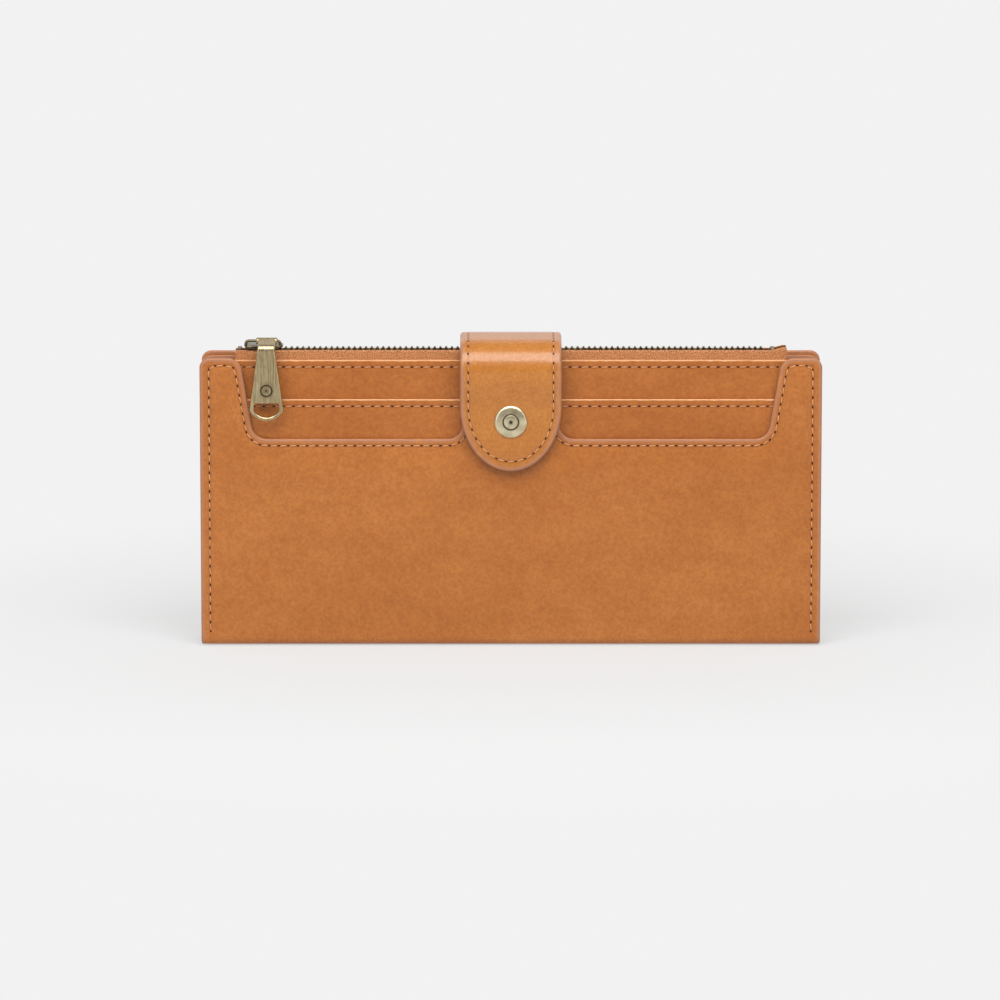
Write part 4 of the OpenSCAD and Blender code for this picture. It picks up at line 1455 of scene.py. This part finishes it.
# The floor is matt and takes shadows; away from the object it glows more, so it stays pale
floor_finish = Finish("pale_floor")
matt = floor_finish.node("ShaderNodeBsdfDiffuse", {}, {"Color": (FLOOR_GREY,) * 3})
glow = floor_finish.node("ShaderNodeEmission", {}, {"Color": (FLOOR_GLOW,) * 3,
                                                    "Strength": 1.0})
floor_spot = floor_finish.spot()
reach_out = floor_finish.node("ShaderNodeVectorMath", {"operation": "LENGTH"}, {0: floor_spot},
                              out="Value")
both = floor_finish.node("ShaderNodeMixShader", {},
                         {0: reach_out.between(0.10, 0.26) * 0.45 + 0.55, 1: matt, 2: glow})
floor_finish.node("ShaderNodeOutputMaterial", {}, {"Surface": both})
mesh = bpy.data.meshes.new("floor")
sweep = [(-4.0, 0.0), (3.0, 0.0)] + [(3.0 + 1.5 * math.sin(a), 1.5 - 1.5 * math.cos(a))
                                    for a in np.radians(np.linspace(10, 90, 9))] + [(4.5, 7.0)]
points = [(x, y, z - FLOOR_DROP) for y, z in sweep for x in (-6.0, 6.0)]
faces = [(2 * i, 2 * i + 1, 2 * i + 3, 2 * i + 2) for i in range(len(sweep) - 1)]
mesh.from_pydata(points, [], faces)
mesh.shade_smooth()
mesh.materials.append(floor_finish.material)
floor = add_object("floor", mesh)

world = bpy.data.worlds.new("studio")
world.use_nodes = True
sky = world.node_tree.nodes
place_in_sky = sky.new("ShaderNodeTexCoord")
parts = sky.new("ShaderNodeSeparateXYZ")
fade = sky.new("ShaderNodeValToRGB")
for stop, at, grey in zip(fade.color_ramp.elements, (SKY_LOW_AT, SKY_HIGH_AT),
                          (SKY_LOW, SKY_HIGH)):
    stop.position = at
    stop.color = (grey, grey, grey, 1.0)
world.node_tree.links.new(place_in_sky.outputs["Generated"], parts.inputs[0])
world.node_tree.links.new(parts.outputs["Z"], fade.inputs[0])
world.node_tree.links.new(fade.outputs[0], sky["Background"].inputs[0])
sky["Background"].inputs[1].default_value = SKY_STRENGTH
bpy.context.scene.world = world


def softbox(name, at, to, width, height, power):
    """A soft rectangular light at one place, turned towards another."""
    data = bpy.data.lights.new(name, "AREA")
    data.shape = "RECTANGLE"
    data.size, data.size_y = width, height
    data.energy = power
    light = bpy.data.objects.new(name, data)
    light.location = at
    light.rotation_euler = (Vector(to) - Vector(at)).to_track_quat("-Z", "Y").to_euler()
    bpy.context.scene.collection.objects.link(light)


softbox("overhead", (0.0, -0.78, 1.06), (0, 0, 0.07), 1.6, 0.85, 22.0)
softbox("left_box", (-0.95, -1.0, 0.35), (0, 0, 0.05), 0.35, 1.1, 2.9)
softbox("right_box", (0.95, -1.0, 0.35), (0, 0, 0.05), 0.35, 1.1, 2.2)

camera_data = bpy.data.cameras.new("camera")
camera_data.sensor_width = 36.0
camera_data.lens = CAMERA_LENS
camera_data.clip_start = 0.05
camera_data.clip_end = 20.0
camera = bpy.data.objects.new("camera", camera_data)
back_off = Vector((0, -math.cos(CAMERA_LIFT), math.sin(CAMERA_LIFT)))
camera.location = CAMERA_AIM + back_off * CAMERA_AWAY
camera.rotation_euler = (-back_off).to_track_quat("-Z", "Y").to_euler()
bpy.context.scene.collection.objects.link(camera)
bpy.context.scene.camera = camera
bpy.context.scene.view_settings.view_transform = "Standard"
